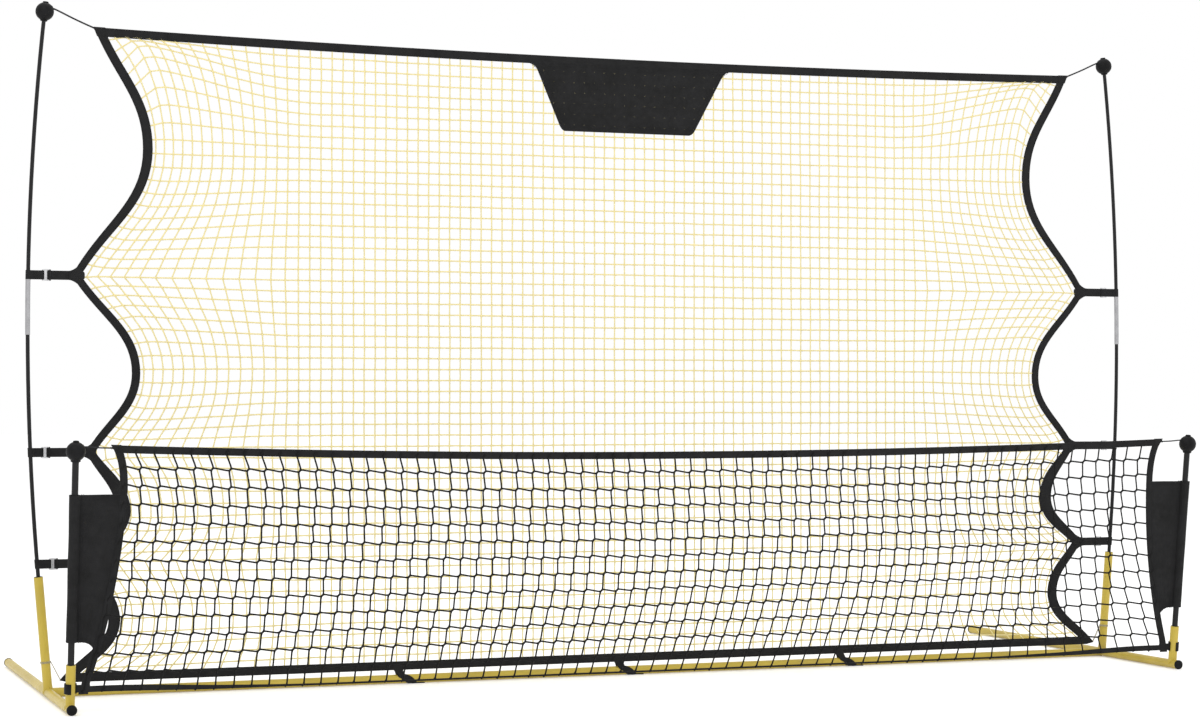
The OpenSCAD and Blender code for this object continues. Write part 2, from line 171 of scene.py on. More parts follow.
def tall_side():
    """The tall net's right-hand edge, from its upper corner down to its lower one."""
    points = []
    for corner, valley, following in zip((TIP,) + CUSPS, VALLEYS, CUSPS + (BASE_TIP,)):
        points += [run_in(corner, valley, SIDE_STEPS), run_out(valley, following, SIDE_STEPS)]
    return np.vstack(points + [[BASE_TIP]])


def side_width():
    """Width of the tall net's side binding at each point of tall_side."""
    knots = np.arange(len(SIDE_WIDTHS)) * SIDE_STEPS
    return np.interp(np.arange(knots[-1] + 1), knots, SIDE_WIDTHS)


def front_side(steps=16):
    """The front net's right-hand edge, from its upper corner down to its lower one."""
    tip, waist, foot = (np.array(v) for v in (FRONT_TIP, FRONT_WAIST, FRONT_FOOT))
    return np.vstack([
        bezier(tip, tip + (-0.012, -0.018), waist + (0, 0.030), waist, steps),
        bezier(waist, waist + (0.003, -0.100), foot + (-0.0295, 0.090), foot, 2 * steps),
        [foot], [FRONT_BASE]])


def inset(curve, d):
    """A curve that runs down the right-hand side, moved in by d."""
    before = np.vstack([curve[:1], curve[:-1]])
    after = np.vstack([curve[1:], curve[-1:]])
    v = after - before
    v /= np.linalg.norm(v, axis=1)[:, None]
    return curve + np.reshape(d, (-1, 1)) * np.stack([v[:, 1], -v[:, 0]], axis=1)


def sagging(tip, sag, half, count=121):
    """A drooping upper edge, from left to right."""
    x = np.linspace(-half, half, count)
    return np.stack([x, tip[1] - sag * (1 - (x / tip[0]) ** 2)], axis=1)


def edge_x(curve, z):
    """The innermost x at which a side curve crosses each height."""
    z = np.atleast_1d(z)
    low = np.minimum(curve[:-1, 1], curve[1:, 1])
    high = np.maximum(curve[:-1, 1], curve[1:, 1])
    rise = curve[1:, 1] - curve[:-1, 1]
    rise = np.where(np.abs(rise) < 1e-9, 1e-9, rise)
    t = np.clip((z[:, None] - curve[:-1, 1]) / rise, 0, 1)
    x = curve[:-1, 0] + t * (curve[1:, 0] - curve[:-1, 0])
    crosses = (z[:, None] >= low - 1e-6) & (z[:, None] <= high + 1e-6)
    found = np.where(crosses, x, 9).min(axis=1)
    ends = np.where(z > curve[:, 1].max(), curve[0, 0], curve[-1, 0])
    return np.where(found > 8, ends, found)


def smooth(t):
    t = np.clip(t, 0, 1)
    return t * t * (3 - 2 * t)


def ripple(points, size, step):
    """Smooth noise at each point, about -size to size, with bumps about step apart."""
    values = [noise.noise(Vector(p) / step) for p in points.reshape(-1, 3)]
    return np.array(values).reshape(points.shape[:-1]) * size


# The two nets' planes: d is the distance in front of the plane

def tall(x, z, d=0.0):
    x, z, d = np.broadcast_arrays(x, z, d)
    return np.stack([x, NET_Y - d, z], axis=-1)


def front(x, h, d=0.0):
    x, h, d = np.broadcast_arrays(x, h, d)
    along = h - TUBE_Z
    y = NET_Y - POST_Y - along * math.sin(POST_LEAN) - d * math.cos(POST_LEAN)
    return np.stack([x, y, TUBE_Z + along * math.cos(POST_LEAN) - d * math.sin(POST_LEAN)], axis=-1)


TALL_FACE = np.array((0, -1.0, 0))
FRONT_FACE = np.array((0, -math.cos(POST_LEAN), -math.sin(POST_LEAN)))


# Mesh building

class Build:
    """Gathers closed tubes for one mesh, with UVs in metres along and across."""

    def __init__(self):
        self.vertices = []
        self.faces = []
        self.uvs = []
        self.count = 0

    def rings(self, rings, u, v, loop=False):
        """Joins rows of points into a tube. u has a value for each ring and v one more than a ring has."""
        n, m = rings.shape[:2]
        rows = n if loop else n - 1
        i = np.arange(rows)[:, None]
        k = np.arange(m)[None, :]
        corners = [i * m + k, i * m + (k + 1) % m, (i + 1) % n * m + (k + 1) % m, (i + 1) % n * m + k]
        corners = [np.broadcast_to(c, (rows, m)) + self.count for c in corners]
        self.faces += np.stack(corners, axis=-1).reshape(-1, 4).tolist()
        u = np.asarray(u, float)
        v = np.asarray(v, float)
        low_u, high_u = u[:rows][:, None] + 0 * k, u[1:rows + 1][:, None] + 0 * k
        low_v, high_v = v[:-1][None, :] + 0 * i, v[1:][None, :] + 0 * i
        uv = np.stack([low_u, low_v, low_u, high_v, high_u, high_v, high_u, low_v], axis=-1)
        self.uvs.append(uv.reshape(-1))
        if not loop:
            self.faces.append(list(range(self.count + m - 1, self.count - 1, -1)))
            self.faces.append(list(range(self.count + (n - 1) * m, self.count + n * m)))
            self.uvs.append(np.stack([np.full(m, u[0]), v[:-1][::-1]], axis=-1).reshape(-1))
            self.uvs.append(np.stack([np.full(m, u[n - 1]), v[:-1]], axis=-1).reshape(-1))
        self.vertices.append(rings.reshape(-1, 3))
        self.count += n * m

    def strand(self, points, radius, across, sides=6, loop=False, flat=1.0):
        """A round strand along points. across is any direction that the path never takes."""
        points = np.asarray(points, float)
        if loop:
            ahead = np.roll(points, -1, axis=0) - np.roll(points, 1, axis=0)
        else:
            ahead = np.gradient(points, axis=0)
        ahead /= np.linalg.norm(ahead, axis=1)[:, None]
        side = np.cross(np.broadcast_to(across, points.shape), ahead)
        side /= np.linalg.norm(side, axis=1)[:, None]
        rise = np.cross(ahead, side)
        angle = np.arange(sides) * 2 * math.pi / sides
        radius = np.broadcast_to(radius, len(points))[:, None, None]
        side, rise = side[:, None], rise[:, None] * flat
        around = np.cos(angle)[None, :, None] * side + np.sin(angle)[None, :, None] * rise
        steps = np.linalg.norm(np.diff(points, axis=0, append=points[:1]), axis=1)
        u = np.concatenate([[0], np.cumsum(steps)])
        self.rings(points[:, None] + radius * around, u, np.linspace(0, 1, sides + 1), loop)

    def piece(self, name, material, angle=None):
        """The finished object. Below the angle, in degrees, edges are smooth."""
        mesh = bpy.data.meshes.new(name)
        mesh.from_pydata(np.vstack(self.vertices).tolist(), [], self.faces)
        mesh.uv_layers.new(name="weave").data.foreach_set("uv", np.concatenate(self.uvs).astype(np.float32))
        work = bmesh.new()
        work.from_mesh(mesh)
        bmesh.ops.recalc_face_normals(work, faces=work.faces)
        work.to_mesh(mesh)
        work.free()
        mesh.shade_smooth()
        if angle is not None:
            mesh.set_sharp_from_angle(angle=math.radians(angle))
        return finished(name, mesh, material)


def finished(name, mesh, material):
    piece = bpy.data.objects.new(name, mesh)
    bpy.context.scene.collection.objects.link(piece)
    mesh.materials.clear()
    mesh.materials.append(material)
    return piece


def show(piece, body, slot, *nodes):
    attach(piece, body)
    if nodes:
        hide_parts(*nodes)
    return piece


def unit(vectors):
    return vectors / np.linalg.norm(vectors, axis=-1, keepdims=True)


def distances(points):
    """How far along a line each of its points is."""
    return np.concatenate([[0], np.cumsum(np.linalg.norm(np.diff(points, axis=0), axis=1))])


def circle(one, two, angle):
    """Directions at each angle round a circle, from one towards two."""
    return np.cos(angle)[:, None] * np.asarray(one) + np.sin(angle)[:, None] * np.asarray(two)


def resample(points, step):
    """Evenly spaced points along a line."""
    points = np.asarray(points, float)
    length = distances(points)
    count = max(2, int(round(length[-1] / step)) + 1)
    at = np.linspace(0, length[-1], count)
    return np.stack([np.interp(at, length, points[:, k]) for k in range(points.shape[1])], axis=1)


def stitches(build, line, face, pitch=0.0040, length=0.0029, radius=0.0004, skip=0):
    """A row of short raised stitches along a line on cloth that faces the way face points. It leaves
    out the first and last few, which a corner patch hides."""
    points = resample(line, pitch)
    points = points[skip:len(points) - skip]
    ahead = unit(np.gradient(points, axis=0))
    face = np.broadcast_to(face, points.shape)
    along = np.array([-0.5, -0.28, 0.28, 0.5]) * length
    thick = np.array([0.3, 1, 1, 0.3]) * radius
    angle = np.arange(4) * math.pi / 2
    for p, t, s, f in zip(points, ahead, np.cross(face, ahead), face):
        rings = p + along[:, None, None] * t + thick[:, None, None] * circle(s, f, angle)
        build.rings(rings, along, np.linspace(0, 1, 5))


def fold(build, outer, inner, place, thick, wave=0.0):
    """A strip of webbing folded over an edge: a U in section, closed along outer, open along inner."""
    half = thick / 2
    lip = half - 0.0012
    side = [(0.0, 0.0), (0.035, 0.72), (0.10, 0.96), (0.15, 0.86), (0.22, 1.0), (0.5, 1.03),
            (0.78, 1.0), (0.86, 0.86), (0.93, 0.97), (0.985, 0.9)]
    section = [(a, half * d) for a, d in side] + [(1.0, lip + 0.0004), (0.99, lip), (0.16, lip)]
    section += [(a, -d) for a, d in section[:0:-1]]
    across = np.array([a for a, _ in section])
    depth = np.array([d for _, d in section])
    flat = outer[:, None] * (1 - across)[None, :, None] + inner[:, None] * across[None, :, None]
    rings = place(flat[..., 0], flat[..., 1], 0.0)
    off = ripple(rings[:, 0], wave, 0.12)[:, None] if wave else 0.0
    rings = place(flat[..., 0], flat[..., 1], depth[None, :] + off)
    width = np.linalg.norm(outer - inner, axis=1).mean()
    build.rings(rings, distances(outer), np.append(across, across[0]) * width)


def mirrored(curve):
    return curve * (-1, 1)


def bind(name, node, net, place, face, side, levels, wave=0.0, tabs=()):
    """A net's webbing: a fold over each edge, given as its outer and inner line, sewn on both faces."""
    build = Build()
    seams = Build()
    strips = [(*side, BAND_T), (*map(mirrored, side), BAND_T)]
    for outer, within, thick in strips + [(*level, LEVEL_T) for level in levels]:
        fold(build, outer, within, place, thick, wave)
        for share in (0.15, 0.86):
            line = outer * (1 - share) + within * share
            for turn in (1, -1):
                points = place(line[:, 0], line[:, 1], turn * thick / 2)
                stitches(seams, points, turn * face, skip=4)
    for outer, within in tabs:
        fold(build, outer, within, place, BAND_T - 0.0005)
    show(build.piece(name, WEBBING, 50), "root", "black_webbing", node)
    show(seams.piece(f"{net}_seams", THREAD), "root", "black_webbing")


# Materials

class Look:
    """A procedural material and short names for the nodes in it."""

    def __init__(self, name, colour, roughness, metallic=0.0, specular=0.5):
        self.material = bpy.data.materials.new(name)
        self.material.use_nodes = True
        self.tree = self.material.node_tree
        self.shader = self.tree.nodes["Principled BSDF"]
        self.shader.inputs["Base Color"].default_value = (*colour, 1)
        self.shader.inputs["Roughness"].default_value = roughness
        self.shader.inputs["Metallic"].default_value = metallic
        self.shader.inputs["Specular IOR Level"].default_value = specular

    def node(self, kind, **values):
        made = self.tree.nodes.new(kind)
        for key, value in values.items():
            setattr(made, key, value)
        return made

    def feed(self, socket, value):
        if hasattr(value, "links"):
            self.tree.links.new(value, socket)
        else:
            socket.default_value = value

    def math(self, operation, a, b=0.0):
        made = self.node("ShaderNodeMath", operation=operation)
        self.feed(made.inputs[0], a)
        self.feed(made.inputs[1], b)
        return made.outputs[0]

    def times(self, a, b):
        return self.math("MULTIPLY", a, b)

    def plus(self, a, b):
        return self.math("ADD", a, b)

    def humps(self, phase):
        """A row of rounded humps, one for each pi of phase."""
        return self.math("ABSOLUTE", self.math("SINE", phase))

    def place(self, stretch=(1, 1, 1)):
        """Object coordinates, in metres, scaled along each axis."""
        coordinates = self.node("ShaderNodeTexCoord").outputs["Object"]
        made = self.node("ShaderNodeMapping")
        self.feed(made.inputs["Vector"], coordinates)
        made.inputs["Scale"].default_value = stretch
        return made.outputs["Vector"]

    def axes(self, kind="Object"):
        made = self.node("ShaderNodeSeparateXYZ")
        self.feed(made.inputs[0], self.node("ShaderNodeTexCoord").outputs[kind])
        return made.outputs

    def noise(self, scale, detail=2.0, stretch=(1, 1, 1)):
        made = self.node("ShaderNodeTexNoise")
        self.feed(made.inputs["Vector"], self.place(stretch))
        made.inputs["Scale"].default_value = scale
        made.inputs["Detail"].default_value = detail
        return made.outputs["Fac"]

    def spread(self, value, low, high, to_low, to_high):
        made = self.node("ShaderNodeMapRange")
        for socket, v in zip(made.inputs, (value, low, high, to_low, to_high)):
            self.feed(socket, v)
        return made.outputs[0]

    def colours(self, value, *stops):
        """A ramp through (position, colour) stops, into the base colour."""
        made = self.node("ShaderNodeValToRGB")
        ramp = made.color_ramp
        for element, (position, colour) in zip(ramp.elements, (stops[0], stops[-1])):
            element.position = position
            element.color = (*colour, 1)
        for position, colour in stops[1:-1]:
            ramp.elements.new(position).color = (*colour, 1)
        self.feed(made.inputs[0], value)
        self.feed(self.shader.inputs["Base Color"], made.outputs["Color"])

    def rough(self, value):
        self.feed(self.shader.inputs["Roughness"], value)

    def bump(self, height, distance, strength=1.0):
        made = self.node("ShaderNodeBump")
        made.inputs["Distance"].default_value = distance
        made.inputs["Strength"].default_value = strength
        self.feed(made.inputs["Height"], height)
        self.feed(self.shader.inputs["Normal"], made.outputs["Normal"])


def powder_coat(name):
    """Yellow powder coat: a fine orange peel, a little uneven, darker in noisy patches within 3 cm of the
    ground.
    """
    look = Look(name, (0.46, 0.34, 0.05), 0.42, specular=0.3)
    # Colour darkened in noisy patches within 3 cm of the ground, fading out with height.
    darker_near_ground = look.times(look.spread(look.axes()[2], 0.0, 0.03, 1.0, 0.0), look.noise(70, 5))
    tone = look.math("SUBTRACT", look.noise(9, 4), look.times(darker_near_ground, 0.12))
    look.colours(tone, (0.12, (0.34, 0.26, 0.06)), (0.42, (0.45, 0.335, 0.043)), (0.68, (0.51, 0.385, 0.06)))
    look.rough(look.spread(look.noise(160, 3), 0.3, 0.75, 0.30, 0.48))
    look.shader.inputs["Coat Weight"].default_value = 0.08
    look.shader.inputs["Coat Roughness"].default_value = 0.25
    look.bump(look.noise(1500, 2), 0.00012, 0.6)
    return look.material


def brushed(name, dark, light, roughness, stretch=(1, 1, 1)):
    """Bare metal with fine drawn lines and slightly darker handling marks."""
    look = Look(name, light, roughness, 1.0)
    lines = look.noise(900, 3, stretch)
    look.colours(look.times(look.plus(lines, look.noise(60, 4)), 0.5), (0.3, dark), (0.62, light))
    look.rough(look.spread(lines, 0.3, 0.7, roughness - 0.08, roughness + 0.12))
    look.bump(lines, 0.00006, 0.5)
    return look.material


def fibre_rod(name):
    """Black glass fibre rod: lengthwise strands under a thin resin skin, with light rub marks."""
    look = Look(name, (0.008, 0.008, 0.008), 0.38, specular=0.2)
    strands = look.noise(1.0, 4, (2600, 2600, 30))
    look.colours(strands, (0.25, (0.005, 0.005, 0.005)), (0.75, (0.014, 0.014, 0.015)))
    look.rough(look.spread(look.noise(45, 4), 0.3, 0.75, 0.26, 0.46))
    look.bump(strands, 0.00010, 0.5)
    return look.material


def moulded(name):
    """Black moulded plastic with a fine spark-eroded grain."""
    look = Look(name, (0.006, 0.006, 0.006), 0.5, specular=0.12)
    look.colours(look.noise(35, 4), (0.3, (0.003, 0.003, 0.003)), (0.72, (0.009, 0.009, 0.010)))
    look.rough(look.spread(look.noise(420, 3), 0.3, 0.7, 0.42, 0.60))
    look.bump(look.noise(1900, 3), 0.00016, 0.7)
    return look.material


def woven_strip(name, dark, light, pick=0.0021, end=0.0014):
    """Webbing: staggered picks in lengthwise rows, from UVs in metres."""
    look = Look(name, dark, 0.85, specular=0.2)
    u, v, _ = look.axes("UV")
    row = look.math("FLOOR", look.math("DIVIDE", v, end))
    shift = look.plus(look.math("DIVIDE", u, pick), look.times(row, 0.5))
    weave = look.times(look.humps(look.times(shift, math.pi)), look.humps(look.times(v, math.pi / end)))
    tone = look.plus(look.times(weave, 0.55), look.times(look.noise(55, 4), 0.6))
    look.colours(tone, (0.2, dark), (0.95, light))
    look.rough(look.spread(look.noise(30, 3), 0.3, 0.7, 0.74, 0.92))
    look.bump(look.plus(weave, look.times(look.noise(2400, 3), 0.35)), 0.00035)
    return look.material


def plain_cloth(name, yarn=0.0008):
    """Black coated cloth: a plain weave over soft, broad shading."""
    look = Look(name, (0.012, 0.012, 0.012), 0.8, specular=0.2)
    x, _, z = look.axes()
    warp, weft = (look.math("SINE", look.times(axis, 2 * math.pi / yarn)) for axis in (x, z))
    weave = look.times(warp, weft)
    tone = look.plus(look.times(weave, 0.12), look.noise(28, 5))
    look.colours(tone, (0.25, (0.009, 0.009, 0.009)), (0.8, (0.017, 0.017, 0.018)))
    look.rough(look.spread(look.noise(90, 4), 0.3, 0.75, 0.66, 0.88))
    look.bump(look.plus(weave, look.noise(1700, 2)), 0.00018)
    return look.material


def laid_twine(name, dark, light, pitch, turns=3, roughness=0.7, specular=0.1):
    """Twisted cord: strands wind round it, from UVs along in metres and once around."""
    look = Look(name, light, roughness, specular=specular)
    u, v, _ = look.axes("UV")
    phase = look.plus(look.math("DIVIDE", u, pitch), look.times(v, turns))
    lay = look.humps(look.times(phase, math.pi))
    tone = look.plus(look.times(lay, 0.6), look.times(look.noise(120, 4), 0.5))
    look.colours(tone, (0.18, dark), (0.8, light))
    look.rough(look.spread(look.noise(200, 3), 0.3, 0.7, roughness - 0.1, roughness + 0.12))
    look.bump(lay, 0.00022)
    return look.material


def braided(name, dark, light, pitch=0.0016):
    """A braided elastic sleeve: two sets of strands that cross."""
    look = Look(name, dark, 0.75, specular=0.2)
    u, v, _ = look.axes("UV")
    along = look.math("DIVIDE", u, pitch)
    turn = look.times(v, 4)
    one, other = (look.math("SINE", look.times(look.math(lean, along, turn), math.pi))
                  for lean in ("ADD", "SUBTRACT"))
    weave = look.math("ABSOLUTE", look.times(one, other))
    tone = look.plus(look.times(weave, 0.7), look.times(look.noise(150, 3), 0.4))
    look.colours(tone, (0.2, dark), (0.9, light))
    look.rough(look.spread(look.noise(80, 3), 0.3, 0.7, 0.62, 0.85))
    look.bump(weave, 0.00025)
    return look.material


def pale_floor(name):
    look = Look(name, (0.88, 0.88, 0.88), 0.75)
    look.colours(look.noise(3, 5), (0.3, (0.87, 0.87, 0.87)), (0.7, (0.90, 0.90, 0.90)))
    look.shader.inputs["Emission Color"].default_value = (1, 1, 1, 1)
    look.shader.inputs["Emission Strength"].default_value = 0.16
    look.bump(look.noise(240, 3), 0.0002, 0.3)
    return look.material


YELLOW = powder_coat("yellow powder coat")
BARE = brushed("zinc plated steel", (0.30, 0.30, 0.31), (0.52, 0.52, 0.53), 0.36)
FERRULE = brushed("drawn steel ferrule", (0.30, 0.30, 0.31), (0.41, 0.41, 0.42), 0.38, (1, 1, 0.04))
NICKEL = brushed("nickel plated slider", (0.40, 0.40, 0.41), (0.66, 0.66, 0.67), 0.32)
ROD = fibre_rod("black fibre rod")
PLASTIC = moulded("black moulded plastic")
WEBBING = woven_strip("black webbing", (0.007, 0.007, 0.007), (0.018, 0.018, 0.019))
CLOTH = plain_cloth("black cloth")
THREAD = laid_twine("black stitching thread", (0.008, 0.008, 0.009), (0.028, 0.028, 0.030), 0.0009, 2)
PALE_NET = laid_twine("pale yellow netting twine", (0.62, 0.52, 0.21), (0.81, 0.71, 0.37), 0.0022, 2)
BLACK_NET = laid_twine("black netting twine", (0.003, 0.003, 0.003), (0.012, 0.012, 0.012), 0.0035, 3)
BLACK_CORD = braided("black braided elastic", (0.008, 0.008, 0.009), (0.040, 0.040, 0.042))
PALE_CORD = braided("pale braided elastic", (0.34, 0.31, 0.22), (0.56, 0.52, 0.42), 0.0010)

CAD_LOOKS = {"yellow_steel": YELLOW, "bare_steel": BARE, "black_rod": ROD, "black_plastic": PLASTIC}


def dress_frame():
    """Gives each CAD node that stays in view its own material."""
    slots = {row["node"]: row["material_slot"] for row in frame["record"]["subparts"]}
    for node, shown in frame["nodes"].items():
        look = FERRULE if node.startswith("ferrule") else CAD_LOOKS.get(slots[node])
        if look:
            shown.data.materials.clear()
            shown.data.materials.append(look)


# Tall net

COLUMN = 0.0203
INNER_COLUMNS = 29
OUTER_COLUMNS = 16
TALL_ROWS = 56
THREAD_R = 0.00116
THREAD_END_R = 0.0007
KNOT_R = 0.0015
CELL_BUNCH = 0.25
HOOK_LENGTH = 0.045
HOOK_SHARE = 0.55
ARCH = 0.034
ARCH_START = 0.022
ARCH_REACH = 0.32


def tall_knots():
    """The knots of the right half, as x and height by column and row. Cells stay square in the middle
    and stretch or close up towards the scalloped side."""
    half = INNER_COLUMNS + OUTER_COLUMNS
    edge = inset(tall_side(), side_width() / 2)
    bottom = BOTTOM_EDGE + BAND_W / 2
    top = TIP[1] - TOP_SAG - BAND_W / 2
    level = np.linspace(bottom, top, TALL_ROWS + 1)
    corners = np.array([BASE_TIP[1]] + [c[1] for c in reversed(CUSPS)] + [TIP[1]])
    at = np.clip(np.searchsorted(corners, level) - 1, 0, len(corners) - 2)
    low, high = corners[at], corners[at + 1]
    t = (level - low) / (high - low)
    at_edge = low + (high - low) * (t - CELL_BUNCH * np.sin(2 * math.pi * t) / (2 * math.pi))
    slope = (edge_x(edge, at_edge + 0.006) - edge_x(edge, at_edge - 0.006)) / 0.012
    hook = -np.clip(slope, -0.8, 0.8) * HOOK_SHARE * HOOK_LENGTH / 2
    hook *= smooth((top - level) / 0.05) * smooth((level - bottom) / 0.05)
    reach = edge_x(edge, at_edge + hook)
    column = np.arange(half + 1)[:, None]
    u = np.clip((column - INNER_COLUMNS) / OUTER_COLUMNS, 0, 1)
    start, run = INNER_COLUMNS * COLUMN, OUTER_COLUMNS * COLUMN
    h = [2 * u ** 3 - 3 * u ** 2 + 1, u ** 3 - 2 * u ** 2 + u, 3 * u ** 2 - 2 * u ** 3, u ** 3 - u ** 2]
    outer_x = h[0] * start + h[1] * run + h[2] * reach + h[3] * 0.7 * run
    x = np.where(column <= INNER_COLUMNS, column * COLUMN, outer_x)
    z = level + (at_edge - level) * smooth(u)
    away = np.maximum(reach - x, 0)
    arch = ARCH * smooth((level - VALLEYS[0][1]) / 0.11) * smooth((top - level) / 0.07)
    z = z + arch * (1 - np.exp(-(away / ARCH_START) ** 2)) * smooth(1 - away / ARCH_REACH)
    z = z + hook * np.clip(1 - (reach - x) / HOOK_LENGTH, 0, 1) ** 2
    lift = TOP_SAG * np.clip(x / TIP[0], 0, 1) ** 2 * smooth((level - top + 0.16) / 0.16)
    return x, z + lift


def tall_net():
    x, z = tall_knots()
    x = np.vstack([-x[:0:-1], x])
    z = np.vstack([z[:0:-1], z])
    knots = tall(x, z)
    pull = 0.0008
    knots[..., 0] += ripple(knots, pull, 0.05)
    knots[..., 2] += ripple(knots + 7, pull, 0.05)
    columns, rows = x.shape
    from_side = np.minimum(np.arange(columns), np.arange(columns)[::-1])[:, None]
    from_end = np.minimum(np.arange(rows), np.arange(rows)[::-1])[None, :]
    loose = smooth((from_side - 1) / 3) * smooth((from_end - 1) / 2)
    loose = loose * (1 - smooth((z - 0.95) / 0.05) * smooth((0.30 - np.abs(x - 0.03)) / 0.06))
    knots[..., 1] += ripple(knots + 3, 2 * pull, 0.16) * loose
    build = Build()
    for line in list(knots) + [knots[:, row] for row in range(1, TALL_ROWS)]:
        path = np.repeat(line, 2, axis=0)[:-1]
        path[1::2] = (line[:-1] + line[1:]) / 2
        thick = np.where(np.arange(len(path)) % 2, THREAD_R, KNOT_R)
        thick[[0, -1]] = THREAD_END_R
        build.strand(path, thick, TALL_FACE, sides=4)
    show(build.piece("tall_net_mesh", PALE_NET), "root", "pale_netting", "rebound_net")


def tall_binding():
    side = tall_side()
    inner = inset(side, side_width())
    inner[0] = (TIP[0] - SIDE_WIDTHS[0] * 1.08, TIP[1])
    inner[-1] = (BASE_TIP[0] - 0.018, BOTTOM_EDGE)
    top = sagging(TIP, TOP_SAG, TIP[0] - 0.001)
    top_inner = (top - (0, BAND_W)) * (1 - 0.0075, 1)
    x = np.linspace(-1, 1, 121) * (BASE_TIP[0] - 0.019)
    bottom = np.stack([x, np.full_like(x, BOTTOM_EDGE)], axis=1)
    bottom_inner = bottom * (0.997, 1) + (0, BAND_W)
    bind("tall_net_binding", "net_binding", "tall_net", tall, TALL_FACE, (side, inner),
         [(top, top_inner), (bottom, bottom_inner)])


# Front net

FRONT_COLUMNS = 66
FRONT_ROWS = 13
HEM_DRAG = 0.082
CORD_R = 0.0015
JOINT_R = 0.0019


def front_knots():
    edge = inset(front_side(), HEM_W / 2)
    share = np.linspace(-1, 1, FRONT_COLUMNS + 1)[:, None]
    rise = np.linspace(0, 1, FRONT_ROWS + 1)[None, :]
    low = FRONT_BASE[1] + 0.0015 + 0.003 * smooth((np.abs(share) * FRONT_BASE[0] - 0.80) / 0.2)
    high = FRONT_TIP[1] - HEM_W / 2 - FRONT_SAG * (1 - share ** 2)
    h = low + (high - low) * rise
    x = share * edge_x(edge, h.reshape(-1)).reshape(h.shape)
    at = share * FRONT_TIP[0]
    drag = -HEM_DRAG * smooth((at + 0.85) / 1.3) * (1 - smooth((at - 0.58) / 0.42))
    return x + drag * np.clip((0.290 - h) / 0.257, 0, 1) ** 1.7, h


def front_mesh():
    """Knotless netting: at each crossing the two cords run together for a short way on the slant."""
    x, h = front_knots()
    joint = 0.0017
    flat = np.stack([x, 0 * x, h], axis=-1)
    x = x + ripple(flat, 0.0024, 0.07)
    h = h + ripple(flat + 5, 0.0024, 0.07)
    bulge = ripple(flat + 9, 0.004, 0.25)
    build = Build()

    def cord(px, ph, pd, lay):
        """One cord through the knots px, ph: in at the lower left of each joint, out at the upper right."""
        points = []
        for k in range(len(px)):
            points.append((px[k] - joint, ph[k] - joint, pd[k] + lay))
            points.append((px[k] + joint, ph[k] + joint, pd[k] + lay))
            if k + 1 < len(px):
                ahead = np.array((px[k + 1] - px[k], ph[k + 1] - ph[k], 0))
                for t in (0.16, 0.5, 0.84):
                    ease = joint * (1 - 2 * t) * (1.25 if t != 0.5 else 1)
                    mid = np.array((px[k], ph[k], pd[k] * (1 - t) + pd[k + 1] * t)) + t * ahead
                    points.append(mid + (ease, ease, 0))
        points = np.array(points)
        thick = np.tile((JOINT_R, JOINT_R, CORD_R, CORD_R, CORD_R), len(px))[:len(points)]
        build.strand(front(points[:, 0], points[:, 1], points[:, 2]), thick, FRONT_FACE, sides=6)

    for column in range(FRONT_COLUMNS + 1):
        cord(x[column], h[column], bulge[column], 0.0005)
    for row in range(1, FRONT_ROWS):
        cord(x[:, row], h[:, row], bulge[:, row], -0.0005)
    show(build.piece("front_net_mesh", BLACK_NET), "root", "black_netting", "front_net")


def front_binding():
    side = front_side()
    inner = inset(side, HEM_W)
    inner[0] = (FRONT_TIP[0] - HEM_W * 1.06, FRONT_TIP[1])
    inner[:, 1] = np.minimum(inner[:, 1], FRONT_TIP[1] - 0.0003)
    inner[-1] = (FRONT_BASE[0] - 0.016, FRONT_BASE[1])
    top = sagging(FRONT_TIP, FRONT_SAG, FRONT_TIP[0] - 0.001)
    top_inner = (top - (0, HEM_W)) * (1 - 0.006, 1)
    x = np.linspace(-1, 1, 121) * (FRONT_BASE[0] - 0.001)
    bottom = np.stack([x, FRONT_BASE[1] + 0.003 * smooth((np.abs(x) - 0.80) / 0.2)], axis=1)
    height = 0.0030 + 0.0075 * smooth((np.abs(x) - 0.62) / 0.38)
    bottom_inner = bottom * (0.993, 1) + np.stack([0 * x, height], axis=1)
    tab = np.stack([np.linspace(1.022, 1.0437, 8), np.full(8, 0.036)], axis=1)
    tabs = [(line, line + (0, 0.013)) for line in (mirrored(tab), tab)]
    bind("front_net_hem", "front_net_binding", "front_net", front, FRONT_FACE, (side, inner),
         [(top, top_inner), (bottom, bottom_inner)], 0.0006, tabs)


# Flat cloth shapes

def plate(name, outline, place, thick, material, angle=40, rim=0.0004):
    """A flat piece cut to an outline, with its rim rounded."""
    mesh = bpy.data.meshes.new(name)
    work = bmesh.new()
    outline = np.asarray(outline, float)
    face = work.faces.new([work.verts.new(p) for p in place(outline[:, 0], outline[:, 1], -thick / 2)])
    lifted = bmesh.ops.extrude_face_region(work, geom=[face])["geom"]
    rise = place(0.0, 0.5, thick)[()] - place(0.0, 0.5, 0.0)[()]
    bmesh.ops.translate(work, vec=rise, verts=[v for v in lifted if isinstance(v, bmesh.types.BMVert)])
    bmesh.ops.recalc_face_normals(work, faces=work.faces)
    rims = [e for e in work.edges if len(e.link_faces) == 2 and e.calc_face_angle() > 1.2]
    bmesh.ops.bevel(work, geom=rims, offset=rim, segments=2, affect="EDGES", profile=0.6)
    work.to_mesh(mesh)
    work.free()
    flat_uv(mesh)
    mesh.shade_smooth()
    mesh.set_sharp_from_angle(angle=math.radians(angle))
    return finished(name, mesh, material)


def flat_uv(mesh):
    """UVs in metres from x and height."""
    layer = mesh.uv_layers.new(name="weave")
    for loop in mesh.loops:
        place = mesh.vertices[loop.vertex_index].co
        layer.data[loop.index].uv = (place.x, place.z)


